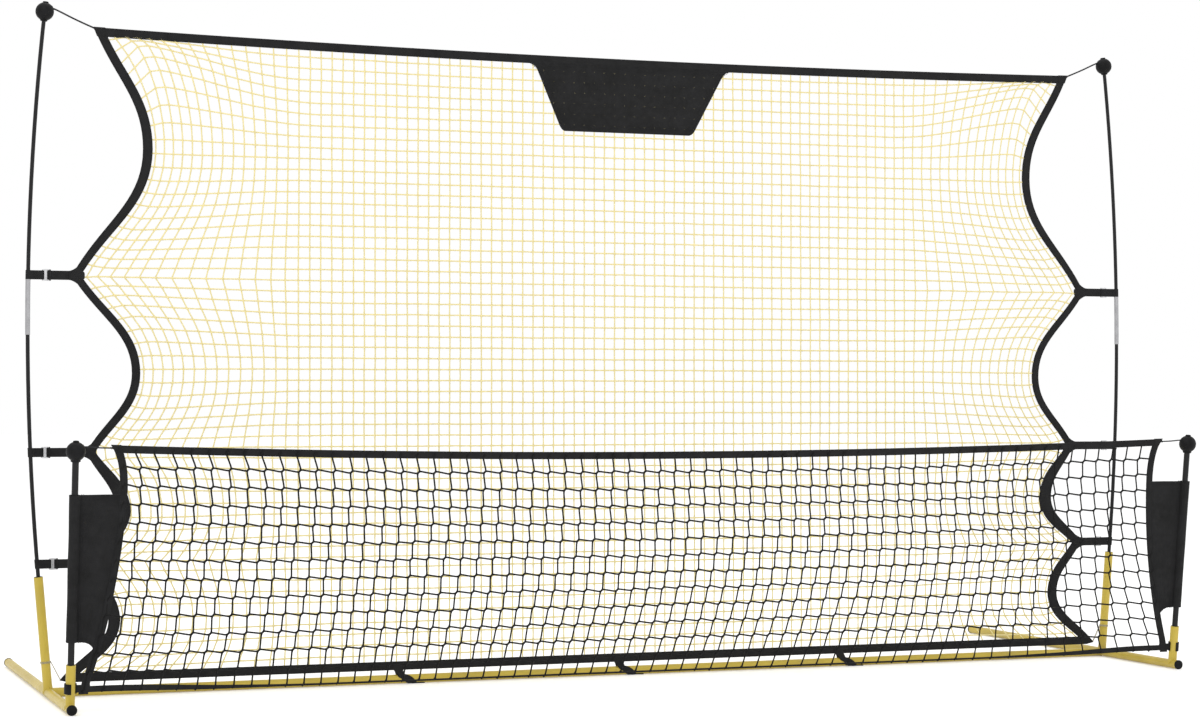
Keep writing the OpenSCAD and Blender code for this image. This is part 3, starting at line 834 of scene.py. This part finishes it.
def corner_patches():
    """A doubled patch over each net's upper corners, where the cap's elastic is fixed."""
    corners = (("tall", tall, TIP, np.array(VALLEYS[0]) - TIP, BAND_W),
               ("front", front, FRONT_TIP, np.array((-0.012, -0.018)), HEM_W))
    for net, place, tip, down, width in corners:
        down = down / np.linalg.norm(down) * width * 1.05
        reach = width + 0.004
        outline = np.array(tip) + [(0.0005, 0.0005), (-reach, 0.0001), (-reach, down[1]), down + (0.0004, 0)]
        for name, side in SIDES.items():
            patch = plate(f"{net}_corner_patch_{name}", outline * (side, 1), place, PATCH_T, WEBBING)
            show(patch, "root", "black_webbing")


def arc(p, corner, q, steps=8):
    """A rounded corner from p to q."""
    t = np.linspace(0, 1, steps)[:, None]
    p, corner, q = (np.array(v, float) for v in (p, corner, q))
    return (1 - t) ** 2 * p + 2 * (1 - t) * t * corner + t ** 2 * q


def header():
    outline = np.vstack([
        [(-0.172, 1.1525)], arc((-0.168, 1.148), (-0.160, 1.147), (-0.155, 1.139), 6),
        arc((-0.111, 1.036), (-0.106, 1.0240), (-0.098, 1.0240), 6),
        arc((0.150, 1.0240), (0.158, 1.0240), (0.164, 1.034), 6),
        arc((0.221, 1.139), (0.226, 1.147), (0.234, 1.148), 6), [(0.238, 1.1525)]])
    panel = plate("header_cloth", outline, lambda x, z, d: tall(x, z, d + 0.0010), 0.0009, CLOTH)
    show(panel, "root", "black_cloth", "header_panel")
    seams = Build()
    centre = outline.mean(axis=0)
    for share in (0.975, 0.94):
        line = centre + (np.vstack([outline, outline[:1]]) - centre) * (1 - (1 - share) * np.array((1, 2.6)))
        stitches(seams, tall(line[:, 0], line[:, 1], 0.0016), TALL_FACE)
    show(seams.piece("header_seams", THREAD), "root", "black_cloth")


# Side straps

def cusp_patch(side, name, i):
    """Where a strap is sewn to the binding's outward point: a doubled patch with rounded inner corners."""
    x, z = CUSPS[i]
    above = run_out(VALLEYS[i], CUSPS[i], 60)
    below = run_in(CUSPS[i], VALLEYS[i + 1], 60)
    half = STRAP_W / 2
    reach = 0.010
    up = [np.array((np.interp(h, above[::-1, 1], above[::-1, 0]), h)) for h in (z + half + reach, z + half)]
    down = [np.array((np.interp(h, below[::-1, 1], below[::-1, 0]), h)) for h in (z - half, z - half - reach)]
    pull = np.array((0.0022, 0))
    top_corner = np.array((up[1][0] + 0.003, z + half))
    low_corner = np.array((down[0][0] + 0.003, z - half))
    root = x - (0.0225, 0.0175, 0.019)[i]
    outline = np.vstack([
        arc(up[0] - pull, top_corner, top_corner + (0.0072, 0)),
        arc(low_corner + (0.0072, 0), low_corner, down[1] - pull),
        arc((root + 0.005, z - half), (root, z - half + 0.001), (root, z - half + 0.005), 4),
        arc((root, z + half - 0.005), (root, z + half - 0.001), (root + 0.005, z + half), 4)])
    outline[:, 0] *= side
    return plate(name, outline, tall, PATCH_T, WEBBING)


def strap(build, side, i):
    """A strap from a cusp, round the pole and back, in one length of thin webbing."""
    x0, z0 = CUSPS[i]
    pole = bow_x_at(z0)
    lean = math.asin((z0 - BOW_Z) / BOW_R)
    turn_r = POLE_R + 0.0007
    gap = 0.00042
    plan = [(x0 - 0.004, -gap), (pole - 0.030, -gap), (pole - 0.012, -gap), (pole - 0.009, -gap - 0.0002),
            (pole - 0.0065, -0.0013)]
    sweep = np.radians(np.linspace(180 + 38, 540 - 38, 26))
    plan += [(pole + turn_r * math.cos(a), turn_r * math.sin(a)) for a in sweep]
    plan += [(x, -y) for x, y in plan[4::-1]]
    plan = np.array(plan)
    ahead = unit(np.gradient(plan, axis=0))
    away = np.stack([-ahead[:, 1], ahead[:, 0]], axis=1)
    half, thin, round_off = STRAP_W / 2, 0.00032, 0.0002
    section = [(half - round_off, thin), (half, 0), (half - round_off, -thin), (0, -thin * 1.05),
               (-half + round_off, -thin), (-half, 0), (-half + round_off, thin), (0, thin * 1.05)]
    near = np.clip((plan[:, 0] - pole + 0.03) / 0.02, 0, 1)
    rings = np.zeros((len(plan), len(section), 3))
    for k, (w, t) in enumerate(section):
        rings[:, k, 0] = side * (plan[:, 0] + away[:, 0] * t - math.tan(lean) * w * near)
        rings[:, k, 1] = NET_Y + plan[:, 1] + away[:, 1] * t
        rings[:, k, 2] = z0 + w
    build.rings(rings, distances(plan), [w for w, _ in section] + [half])


def side_straps(name, side):
    build = Build()
    seams = Build()
    patches = []
    half = STRAP_W / 2 - 0.0020
    for i, (x, z) in enumerate(CUSPS):
        strap(build, side, i)
        patches.append(cusp_patch(side, f"strap_patch_{i}_{name}", i))
        for gap, depth in ((0.0085, 0.0011), (0.0100, 0.0009)):
            for face in (1, -1):
                x_at = np.full(2, side * (bow_x_at(z) - gap))
                line = tall(x_at, np.array((z - half, z + half)), face * depth)
                stitches(seams, line, face * TALL_FACE, **FINE_STITCH)
        near, far, low, high = x - 0.017, x + 0.004, z - half, z + half
        box = np.array(((near, low), (far, low), (far, high), (near, high), (near, low), (far, high)))
        for face in (1, -1):
            line = tall(side * box[:, 0], box[:, 1], face * (BAND_T / 2 + 0.0005))
            stitches(seams, line, face * TALL_FACE, **BOX_STITCH)
    show(build.piece(f"pole_straps_{name}", WEBBING, 50), "root", "black_webbing", f"side_straps_{name}")
    for patch in patches:
        show(patch, "root", "black_webbing")
    show(seams.piece(f"strap_seams_{name}", THREAD), "root", "black_webbing")


def ground_straps():
    """Each strap winds once round the cross tube, from the front of the lower band to its back."""
    build = Build()
    wrap_r = TUBE_R + 0.0004
    half, thin, rim = 0.0080, 0.0003, 0.0076
    across = np.linspace(-rim, rim, 9)
    section = [(half, 0)] + [(w, thin) for w in across[::-1]] + [(-half, 0)] + [(w, -thin) for w in across]
    turn = np.radians(np.linspace(58, -238, 26))
    shift = 0.022 * (1 - np.abs(1 - 2 * np.linspace(0, 1, len(turn))) ** 1.5) - 0.007
    axis = np.array((NET_Y, TUBE_Z))
    for x in GROUND_STRAPS:
        path = [(x - 0.020, BOTTOM_EDGE + 0.010, 0.0021), (x - 0.014, BOTTOM_EDGE + 0.003, 0.0026)]
        path += list(zip(x + shift, TUBE_Z + wrap_r * np.sin(turn), wrap_r * np.cos(turn)))
        path += [(x - 0.012, BOTTOM_EDGE + 0.002, -0.0026), (x - 0.018, BOTTOM_EDGE + 0.010, -0.0021)]
        points = tall(*np.array(path).T)
        ahead = unit(np.gradient(points, axis=0))
        wide = unit(np.array((1.0, 0, 0)) - ahead * ahead[:, :1])
        out = np.cross(wide, ahead)
        rings = np.stack([points + w * wide + t * out for w, t in section], axis=1)
        wound = rings[2:-2, :, 1:] - axis
        outward = np.sign((wound[:, 0] * out[2:-2, 1:]).sum(axis=-1))
        level = wrap_r + outward[:, None] * np.array([t for _, t in section])
        rings[2:-2, :, 1:] = axis + unit(wound) * level[..., None]
        build.rings(rings, distances(points), [w for w, _ in section] + [half])
        tail = np.linspace(x + 0.012, x + 0.036, 9)
        under = math.radians(55)
        height = TUBE_Z - (TUBE_R + 0.0012) * math.sin(under) + 0.0003 * np.sin(np.linspace(0, 4, 9))
        build.strand(tall(tail, height, (TUBE_R + 0.0012) * math.cos(under)), 0.0011, (0, 1.0, 0.3), flat=0.5)
    show(build.piece("ground_strap_webbing", WEBBING, 50), "root", "black_webbing", "ground_straps")


# Side panels

def panel_shape(side):
    """Points of the cloth between the side hem and the post, by column and row: x, height along the
    net's plane, and depth, with a few soft creases."""
    steps, rows = 14, 40
    post = FOOT_X - POST_R - 0.0024
    s = np.linspace(0, 1, steps + 1)[:, None]
    t = np.linspace(0, 1, rows + 1)[None, :]
    by_hem = PANEL_FOOT + (PANEL_TOP - PANEL_FOOT) * t
    by_post = PANEL_CUT + (PANEL_TOP - PANEL_CUT) * t
    bend = 1 - (1 - s) ** 4
    h = by_hem * (1 - bend) + by_post * bend
    start = edge_x(front_side(), h[0])[None, :] - 0.008
    x = start + (post - start) * s
    crease = 0.0011 * np.sin(9 * t + 5 * s) + 0.0008 * np.sin(31 * s + 6 * t) * (1 - t)
    return side * x, h, crease * np.sin(math.pi * s)


def side_cloth(name, x, h, crease):
    """The panel's cloth, with two faces and a closed rim."""
    mesh = bpy.data.meshes.new(f"side_cloth_{name}")
    work = bmesh.new()
    grids = [[[work.verts.new(p) for p in row] for row in front(x, h, crease + d)] for d in (0.0007, -0.0007)]
    n, m = x.shape
    for grid in grids:
        for i in range(n - 1):
            for k in range(m - 1):
                work.faces.new((grid[i][k], grid[i + 1][k], grid[i + 1][k + 1], grid[i][k + 1]))
    rim = [(i, 0) for i in range(n)] + [(n - 1, k) for k in range(1, m)]
    rim += [(i, m - 1) for i in range(n - 2, -1, -1)] + [(0, k) for k in range(m - 2, 0, -1)]
    for (i, k), (j, l) in zip(rim, rim[1:] + rim[:1]):
        work.faces.new((grids[0][i][k], grids[0][j][l], grids[1][j][l], grids[1][i][k]))
    bmesh.ops.recalc_face_normals(work, faces=work.faces)
    work.to_mesh(mesh)
    work.free()
    flat_uv(mesh)
    mesh.shade_smooth()
    mesh.set_sharp_from_angle(angle=math.radians(60))
    panel = show(finished(f"side_cloth_{name}", mesh, CLOTH), "root", "black_cloth", f"side_panel_{name}")


def post_sleeve(name, side):
    """The panel's sleeve round the post, with a rolled lip at each end."""
    build = Build()
    axis = np.array((0, -math.sin(POST_LEAN), math.cos(POST_LEAN)))
    foot = np.array((side * FOOT_X, NET_Y - POST_Y, TUBE_Z))
    along = np.linspace((PANEL_CUT - TUBE_Z) / math.cos(POST_LEAN), (PANEL_TOP - TUBE_Z) - 0.0005, 50)
    around = np.radians(np.arange(28) * 360 / 28)
    sway = np.array((1.0, 0, 0))
    ring = circle(sway, np.cross(axis, sway), around)
    swell = 0.0003 * np.sin(along * 60)[:, None] * np.cos(2 * around)[None, :]
    lips = sum(0.0004 * np.exp(-((along - end) / 0.004) ** 2) for end in (along[0], along[-1]))
    outer = POST_R + 0.0034 + swell + lips[:, None]
    shells = [foot + along[:, None, None] * axis + np.broadcast_to(r, swell.shape)[..., None] * ring[None]
              for r in (outer, POST_R + 0.0022)]
    run = np.concatenate([along, along[::-1], along[:1]])
    tube = np.concatenate([shells[0], shells[1][::-1]])
    build.rings(tube, run, np.linspace(0, 0.04, len(around) + 1), loop=True)
    show(build.piece(f"post_sleeve_{name}", CLOTH, 50), "root", "black_cloth")


def side_panel(name, side):
    x, h, crease = panel_shape(side)
    side_cloth(name, x, h, crease)
    post_sleeve(name, side)
    seams = Build()
    hems = ((0, 0.004), (0, 0.0075), (-1, -0.004), (-1, -0.0075))
    lines = [(x[:, k], h[:, k] + d, crease[:, k]) for k, d in hems]
    lines += [(x[-1] - side * d, h[-1], 0.0) for d in (0.0035, 0.0065)]
    for at, height, depth in lines:
        for turn in (1, -1):
            line = front(at, height, turn * 0.0008 + depth)
            stitches(seams, line, turn * FRONT_FACE, **PANEL_STITCH)
    show(seams.piece(f"panel_seams_{name}", THREAD), "root", "black_cloth")


# Ball caps and their cords

def pole_cap_place(side):
    a = bow_angle(POLE_LEN)
    centre = Vector((side * (BOW_X + BOW_R * math.cos(a)), NET_Y, BOW_Z + BOW_R * math.sin(a)))
    return centre, Vector((-side * math.sin(a), 0, math.cos(a)))


def post_cap_place(side):
    axis = Vector((0, -math.sin(POST_LEAN), math.cos(POST_LEAN)))
    return Vector((side * FOOT_X, NET_Y - POST_Y, TUBE_Z)) + POST_LEN * axis, axis


def ball_cap(name, centre, axis, bore, cord_way):
    """A moulded ball: a parting line round its middle, a collar with a chamfer below and a button on top."""
    neck = bore + 0.0002
    collar = bore + 0.0026
    angles = np.radians(np.linspace(-90, 90, 61))
    ball = np.stack([BALL_R * np.cos(angles), BALL_R * np.sin(angles)], axis=1)
    groove = np.exp(-(ball[:, 1] / 0.0005) ** 2)
    lips = np.exp(-((np.abs(ball[:, 1]) - 0.0012) / 0.0005) ** 2)
    ball[:, 0] *= 1 - 0.018 * groove + 0.006 * lips
    body = ball[(ball[:, 0] > collar + 0.0004) | (ball[:, 1] > 0)]
    body = body[(body[:, 0] > 0.0054) | (body[:, 1] < 0)]
    foot = -BALL_R - 0.0010
    start = [(neck, TIP_DEPTH + 0.0005), (neck, -0.006), (neck, foot + 0.0004), (neck + 0.0005, foot),
             (collar - 0.0006, foot), (collar, foot + 0.0006), (collar, body[0, 1] - 0.0012),
             (collar + 0.0005, body[0, 1] - 0.0003)]
    rise = BALL_R + 0.0015
    end = [(0.0051, rise - 0.0020), (0.0050, rise - 0.0006), (0.0044, rise), (0.0026, rise + 0.0002),
           (0.0016, rise - 0.0006), (0.0002, rise - 0.0009)]
    profile = np.array([(0.0002, TIP_DEPTH + 0.0010)] + start + body.tolist() + end)
    across = axis.orthogonal().normalized()
    other = axis.cross(across)
    ring = circle(across, other, np.radians(np.arange(64) * 360 / 64))
    rings = np.array(centre) + profile[:, 1, None, None] * np.array(axis) + profile[:, 0, None, None] * ring
    build = Build()
    build.rings(rings, np.arange(len(profile)) * 0.001, np.linspace(0, 0.1, 65))
    way = np.array(cord_way)
    lip = np.array(centre) + way * (BALL_R - 0.0004)
    one = unit(np.cross(way, (0.3, 1, 0.2)))
    eyelet = lip + 0.0026 * circle(one, np.cross(way, one), np.radians(np.arange(20) * 18))
    build.strand(eyelet, 0.0007, way, sides=8, loop=True)
    show(build.piece(f"{name}_ball", PLASTIC, 40), name, "black_plastic", name)


def elastic(name, path, radius):
    """A taut elastic cord from a cap, tied off in a stopper knot at the net's corner."""
    build = Build()
    build.strand(path, radius, (0.2, 1.0, 0.1), sides=12)
    way = unit(path[-1] - path[-2])
    one = unit(np.cross(way, (0, 1, 0.1)))
    turns = np.linspace(0, 2 * math.pi * 2.2, 48)
    wind = path[-1] + np.outer(np.linspace(-0.0034, 0.0022, 48), way)
    wind = wind + 1.15 * radius * circle(one, np.cross(way, one), turns)
    build.strand(wind, 0.65 * radius, way * 0.97 + one * 0.1, sides=8)
    cord = build.piece(f"{name}_elastic", BLACK_CORD, 60)
    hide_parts(name)
    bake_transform(cord)


def caps_and_cords():
    for name, side in SIDES.items():
        centre, axis = pole_cap_place(side)
        corner = Vector((side * (TIP[0] - 0.004), NET_Y, TIP[1] - 0.003))
        way = (corner - centre).normalized()
        leave = Vector((way.x, way.y, 0.62)).normalized()
        ball_cap(f"pole_cap_{name}", centre, axis, POLE_R, leave)
        elastic(f"pole_cap_cord_{name}", taut(centre, leave, corner, 0.0006), POLE_CORD_R)

        centre, axis = post_cap_place(side)
        corner = Vector(front(side * (FRONT_TIP[0] - 0.003), FRONT_TIP[1] - 0.005))
        leave = ((corner - centre).normalized() + axis * 0.6).normalized()
        ball_cap(f"post_cap_{name}", centre, axis, POST_R, leave)
        elastic(f"post_cap_cord_{name}", taut(centre, leave, corner, 0.0004), POST_CORD_R)


def taut(centre, leave, end, droop, steps=26):
    """A cord's path that leaves a ball squarely and then runs nearly straight."""
    t = np.linspace(0, 1, steps)[:, None]
    start = np.array(centre + leave * (BALL_R - 0.003))
    out = np.array(centre + leave * (BALL_R + 0.004))
    end = np.array(end)
    bend = start + (out - start) * 0.55
    path = start + (end - start) * t + (bend - start) * 4 * t * (1 - t) ** 5
    path[:, 2] -= droop * np.sin(math.pi * t[:, 0])
    return path


def corner_elastics():
    """Thin pale cords from the tall net's lower corners, each looped round its socket."""
    build = Build()
    height = 0.053
    loop_r = TUBE_R + 0.0009
    for side in SIDES.values():
        axis = np.array((side * math.sin(SOCKET_LEAN), 0, math.cos(SOCKET_LEAN)))
        centre = np.array((side * FOOT_X, NET_Y, TUBE_Z)) + height * axis
        out = np.array((side * math.cos(SOCKET_LEAN), 0, -math.sin(SOCKET_LEAN)))
        turn = np.radians(np.arange(36) * 10)
        for lift in (-0.0009, 0.0009):
            ring = centre + lift * axis + loop_r * circle(out, (0, 1.0, 0), turn)
            build.strand(ring, 0.00055, axis, sides=8, loop=True)
        tip = np.array((side * (BASE_TIP[0] - 0.002), NET_Y, BASE_TIP[1] + 0.001))
        hitch = centre - out * loop_r
        t = np.linspace(0, 1, 14)[:, None]
        for shift in (-0.0008, 0.0008):
            line = tip + (hitch - tip) * t + np.array((0, shift, 0)) * (1 + np.sin(3 * t))
            build.strand(line, CORNER_CORD_R, (0, 1.0, 0.1), sides=8)
    show(build.piece("corner_elastics", PALE_CORD, 60), "root", "pale_elastic", "corner_cords")


# Hardware

def softened(node, name, material, width):
    """A copy of a CAD node with its sharp edges rounded."""
    mesh = frame["nodes"][node].data.copy()
    work = bmesh.new()
    work.from_mesh(mesh)
    bmesh.ops.remove_doubles(work, verts=work.verts, dist=1e-6)
    bmesh.ops.dissolve_limit(work, angle_limit=0.01, verts=work.verts, edges=work.edges)
    edges = [e for e in work.edges if len(e.link_faces) == 2 and e.calc_face_angle(0) > 0.7]
    bmesh.ops.bevel(work, geom=edges, offset=width, segments=2, affect="EDGES", profile=0.6,
                    clamp_overlap=True)
    work.to_mesh(mesh)
    work.free()
    mesh.name = name
    mesh.shade_smooth()
    mesh.set_sharp_from_angle(angle=math.radians(35))
    return finished(name, mesh, material)


def button_spring(spring):
    """A copy of the leaf spring under a snap button, with its edges rounded, in place of the CAD node."""
    piece = softened(spring, f"{spring}_leaf", BARE, 0.00008)
    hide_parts(spring)
    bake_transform(piece)


def weld_bead(build, centre, axis, along):
    """A ripple of weld metal where a tube stands on another of its size. along is the other's axis."""
    side = unit(np.cross(along, axis))
    angle = np.linspace(0, 2 * math.pi, 140, endpoint=False)
    shell = TUBE_R * circle(side, np.cross(axis, side), angle)
    p, a = (v - np.outer(v @ along, along) for v in (shell, axis[None]))
    a = a[0]
    b, c = 2 * p @ a, (p ** 2).sum(axis=1) - TUBE_R ** 2
    s = (-b + np.sqrt(np.maximum(b ** 2 - 4 * (a @ a) * c, 0))) / (2 * (a @ a))
    points = centre + shell * 1.02 + s[:, None] * axis
    points[:, 2] = np.maximum(points[:, 2], 0.0017)
    bead = 0.0013 + 0.00022 * np.sin(angle * 26) + 0.0001 * np.sin(angle * 7 + 1)
    build.strand(points, bead, axis + 0.03 * side, sides=8, loop=True)


def keeper(build, at, side, z):
    """A folded loop of webbing round the strap, beside a slider."""
    half_h, half_t, corner = 0.0098, 0.0019, 0.0012
    turn = np.radians(np.arange(0, 360, 15))
    ring = np.stack([(half_t - corner) * np.sign(np.cos(turn)) + corner * np.cos(turn),
                     (half_h - corner) * np.sign(np.sin(turn)) + corner * np.sin(turn)], axis=1)
    x0, x1 = at - side * 0.0064, at - side * 0.0090
    shells = [(0, 0.86), (0, 0.97), (0.1, 1.0), (0.9, 1.0), (1, 0.97), (1, 0.86)]
    rings = [tall(x0 + (x1 - x0) * t, z + ring[:, 1] * k, ring[:, 0] * k) for t, k in shells]
    inner = ring * (0.45, 0.90)
    rings += [tall(x, z + inner[:, 1], inner[:, 0]) for x in (x1, x0)]
    run = np.arange(len(rings) + 1) * 0.001
    build.rings(np.array(rings), run, np.linspace(0, 0.04, len(ring) + 1), loop=True)


def strap_end(build, at, z):
    """The end of the strap, humped over a slider's front bar."""
    plan = [(-0.0065, 0.0015), (-0.0050, 0.0017), (-0.0034, 0.0027), (0, 0.0031), (0.0034, 0.0027),
            (0.0050, 0.0017), (0.0065, 0.0015)]
    across = np.linspace(-1, 1, 9) * 0.0078
    rings = [np.concatenate([tall(at + a, z + across, d), tall(at + a, z - across, d - 0.0006)])
             for a, d in resample(plan, 0.0007)]
    width = np.concatenate([np.linspace(0, 0.016, 9), np.linspace(0.016, 0, 9), [0]])
    build.rings(np.array(rings), np.arange(len(rings)) * 0.0007, width)


def slider_webbing(node, side, z):
    """Webbing that travels with a slider: a keeper on the left of the object, a strap end on the right."""
    build = Build()
    at = middle(node).x
    if side < 0:
        keeper(build, at, side, z)
    else:
        strap_end(build, at, z)
    show(build.piece(f"{node}_webbing", WEBBING, 50), node, "black_webbing")


def hardware():
    for name, side in SIDES.items():
        for level, cusp in zip(("upper", "middle", "lower"), CUSPS):
            node = f"{level}_slider_{name}"
            plated = softened(node, f"{node}_plated", NICKEL, 0.00035)
            show(plated, node, "bare_steel", node)
            slider_webbing(node, side, cusp[1])
        clip = f"corner_clip_{name}"
        show(softened(clip, f"{clip}_moulded", PLASTIC, 0.0004), "root", "black_plastic", clip)
        for place in ("stub", "centre"):
            button_spring(f"{place}_spring_{name}")
        welds = Build()
        standing = ((NET_Y, (side * math.sin(SOCKET_LEAN), 0, math.cos(SOCKET_LEAN))),
                    (NET_Y, (-side * 1.0, 0, 0)),
                    (NET_Y - POST_Y, (0, -math.sin(POST_LEAN), math.cos(POST_LEAN))))
        for y, axis in standing:
            weld_bead(welds, np.array((side * FOOT_X, y, TUBE_Z)), np.array(axis), np.array((0, 1.0, 0)))
        show(welds.piece(f"weld_beads_{name}", YELLOW), "root", "yellow_steel")


# Studio

def studio():
    mesh = bpy.data.meshes.new("floor")
    reach = 40
    corners = [(-reach, -reach, 0), (reach, -reach, 0), (reach, reach, 0), (-reach, reach, 0)]
    mesh.from_pydata(corners, [], [(0, 1, 2, 3)])
    floor = finished("floor", mesh, pale_floor("pale floor"))
    world = bpy.data.worlds.new("studio")
    world.use_nodes = True
    back = world.node_tree.nodes["Background"]
    back.inputs["Color"].default_value = (1, 1, 1, 1)
    back.inputs["Strength"].default_value = 1.0
    bpy.context.scene.world = world
    bpy.context.scene.view_settings.view_transform = "Standard"
    lights = (("key", (-3.0, -4.5, 4.5), 4.0, 110), ("fill", (4.5, -3.5, 3.0), 4.0, 40),
              ("top", (0.0, 1.0, 5.0), 5.0, 50))
    for name, place, size, power in lights:
        data = bpy.data.lights.new(name, "AREA")
        data.shape = "SQUARE"
        data.size = size
        data.energy = power
        light = bpy.data.objects.new(name, data)
        light.location = place
        light.rotation_euler = (Vector((0, 0, 0.5)) - Vector(place)).to_track_quat("-Z", "Y").to_euler()
        bpy.context.scene.collection.objects.link(light)


corner_elastics()
caps_and_cords()
dress_frame()
tall_net()
tall_binding()
header()
corner_patches()
for side_name, side_sign in SIDES.items():
    side_straps(side_name, side_sign)
ground_straps()
front_mesh()
front_binding()
for side_name, side_sign in SIDES.items():
    side_panel(side_name, side_sign)
hardware()
studio()
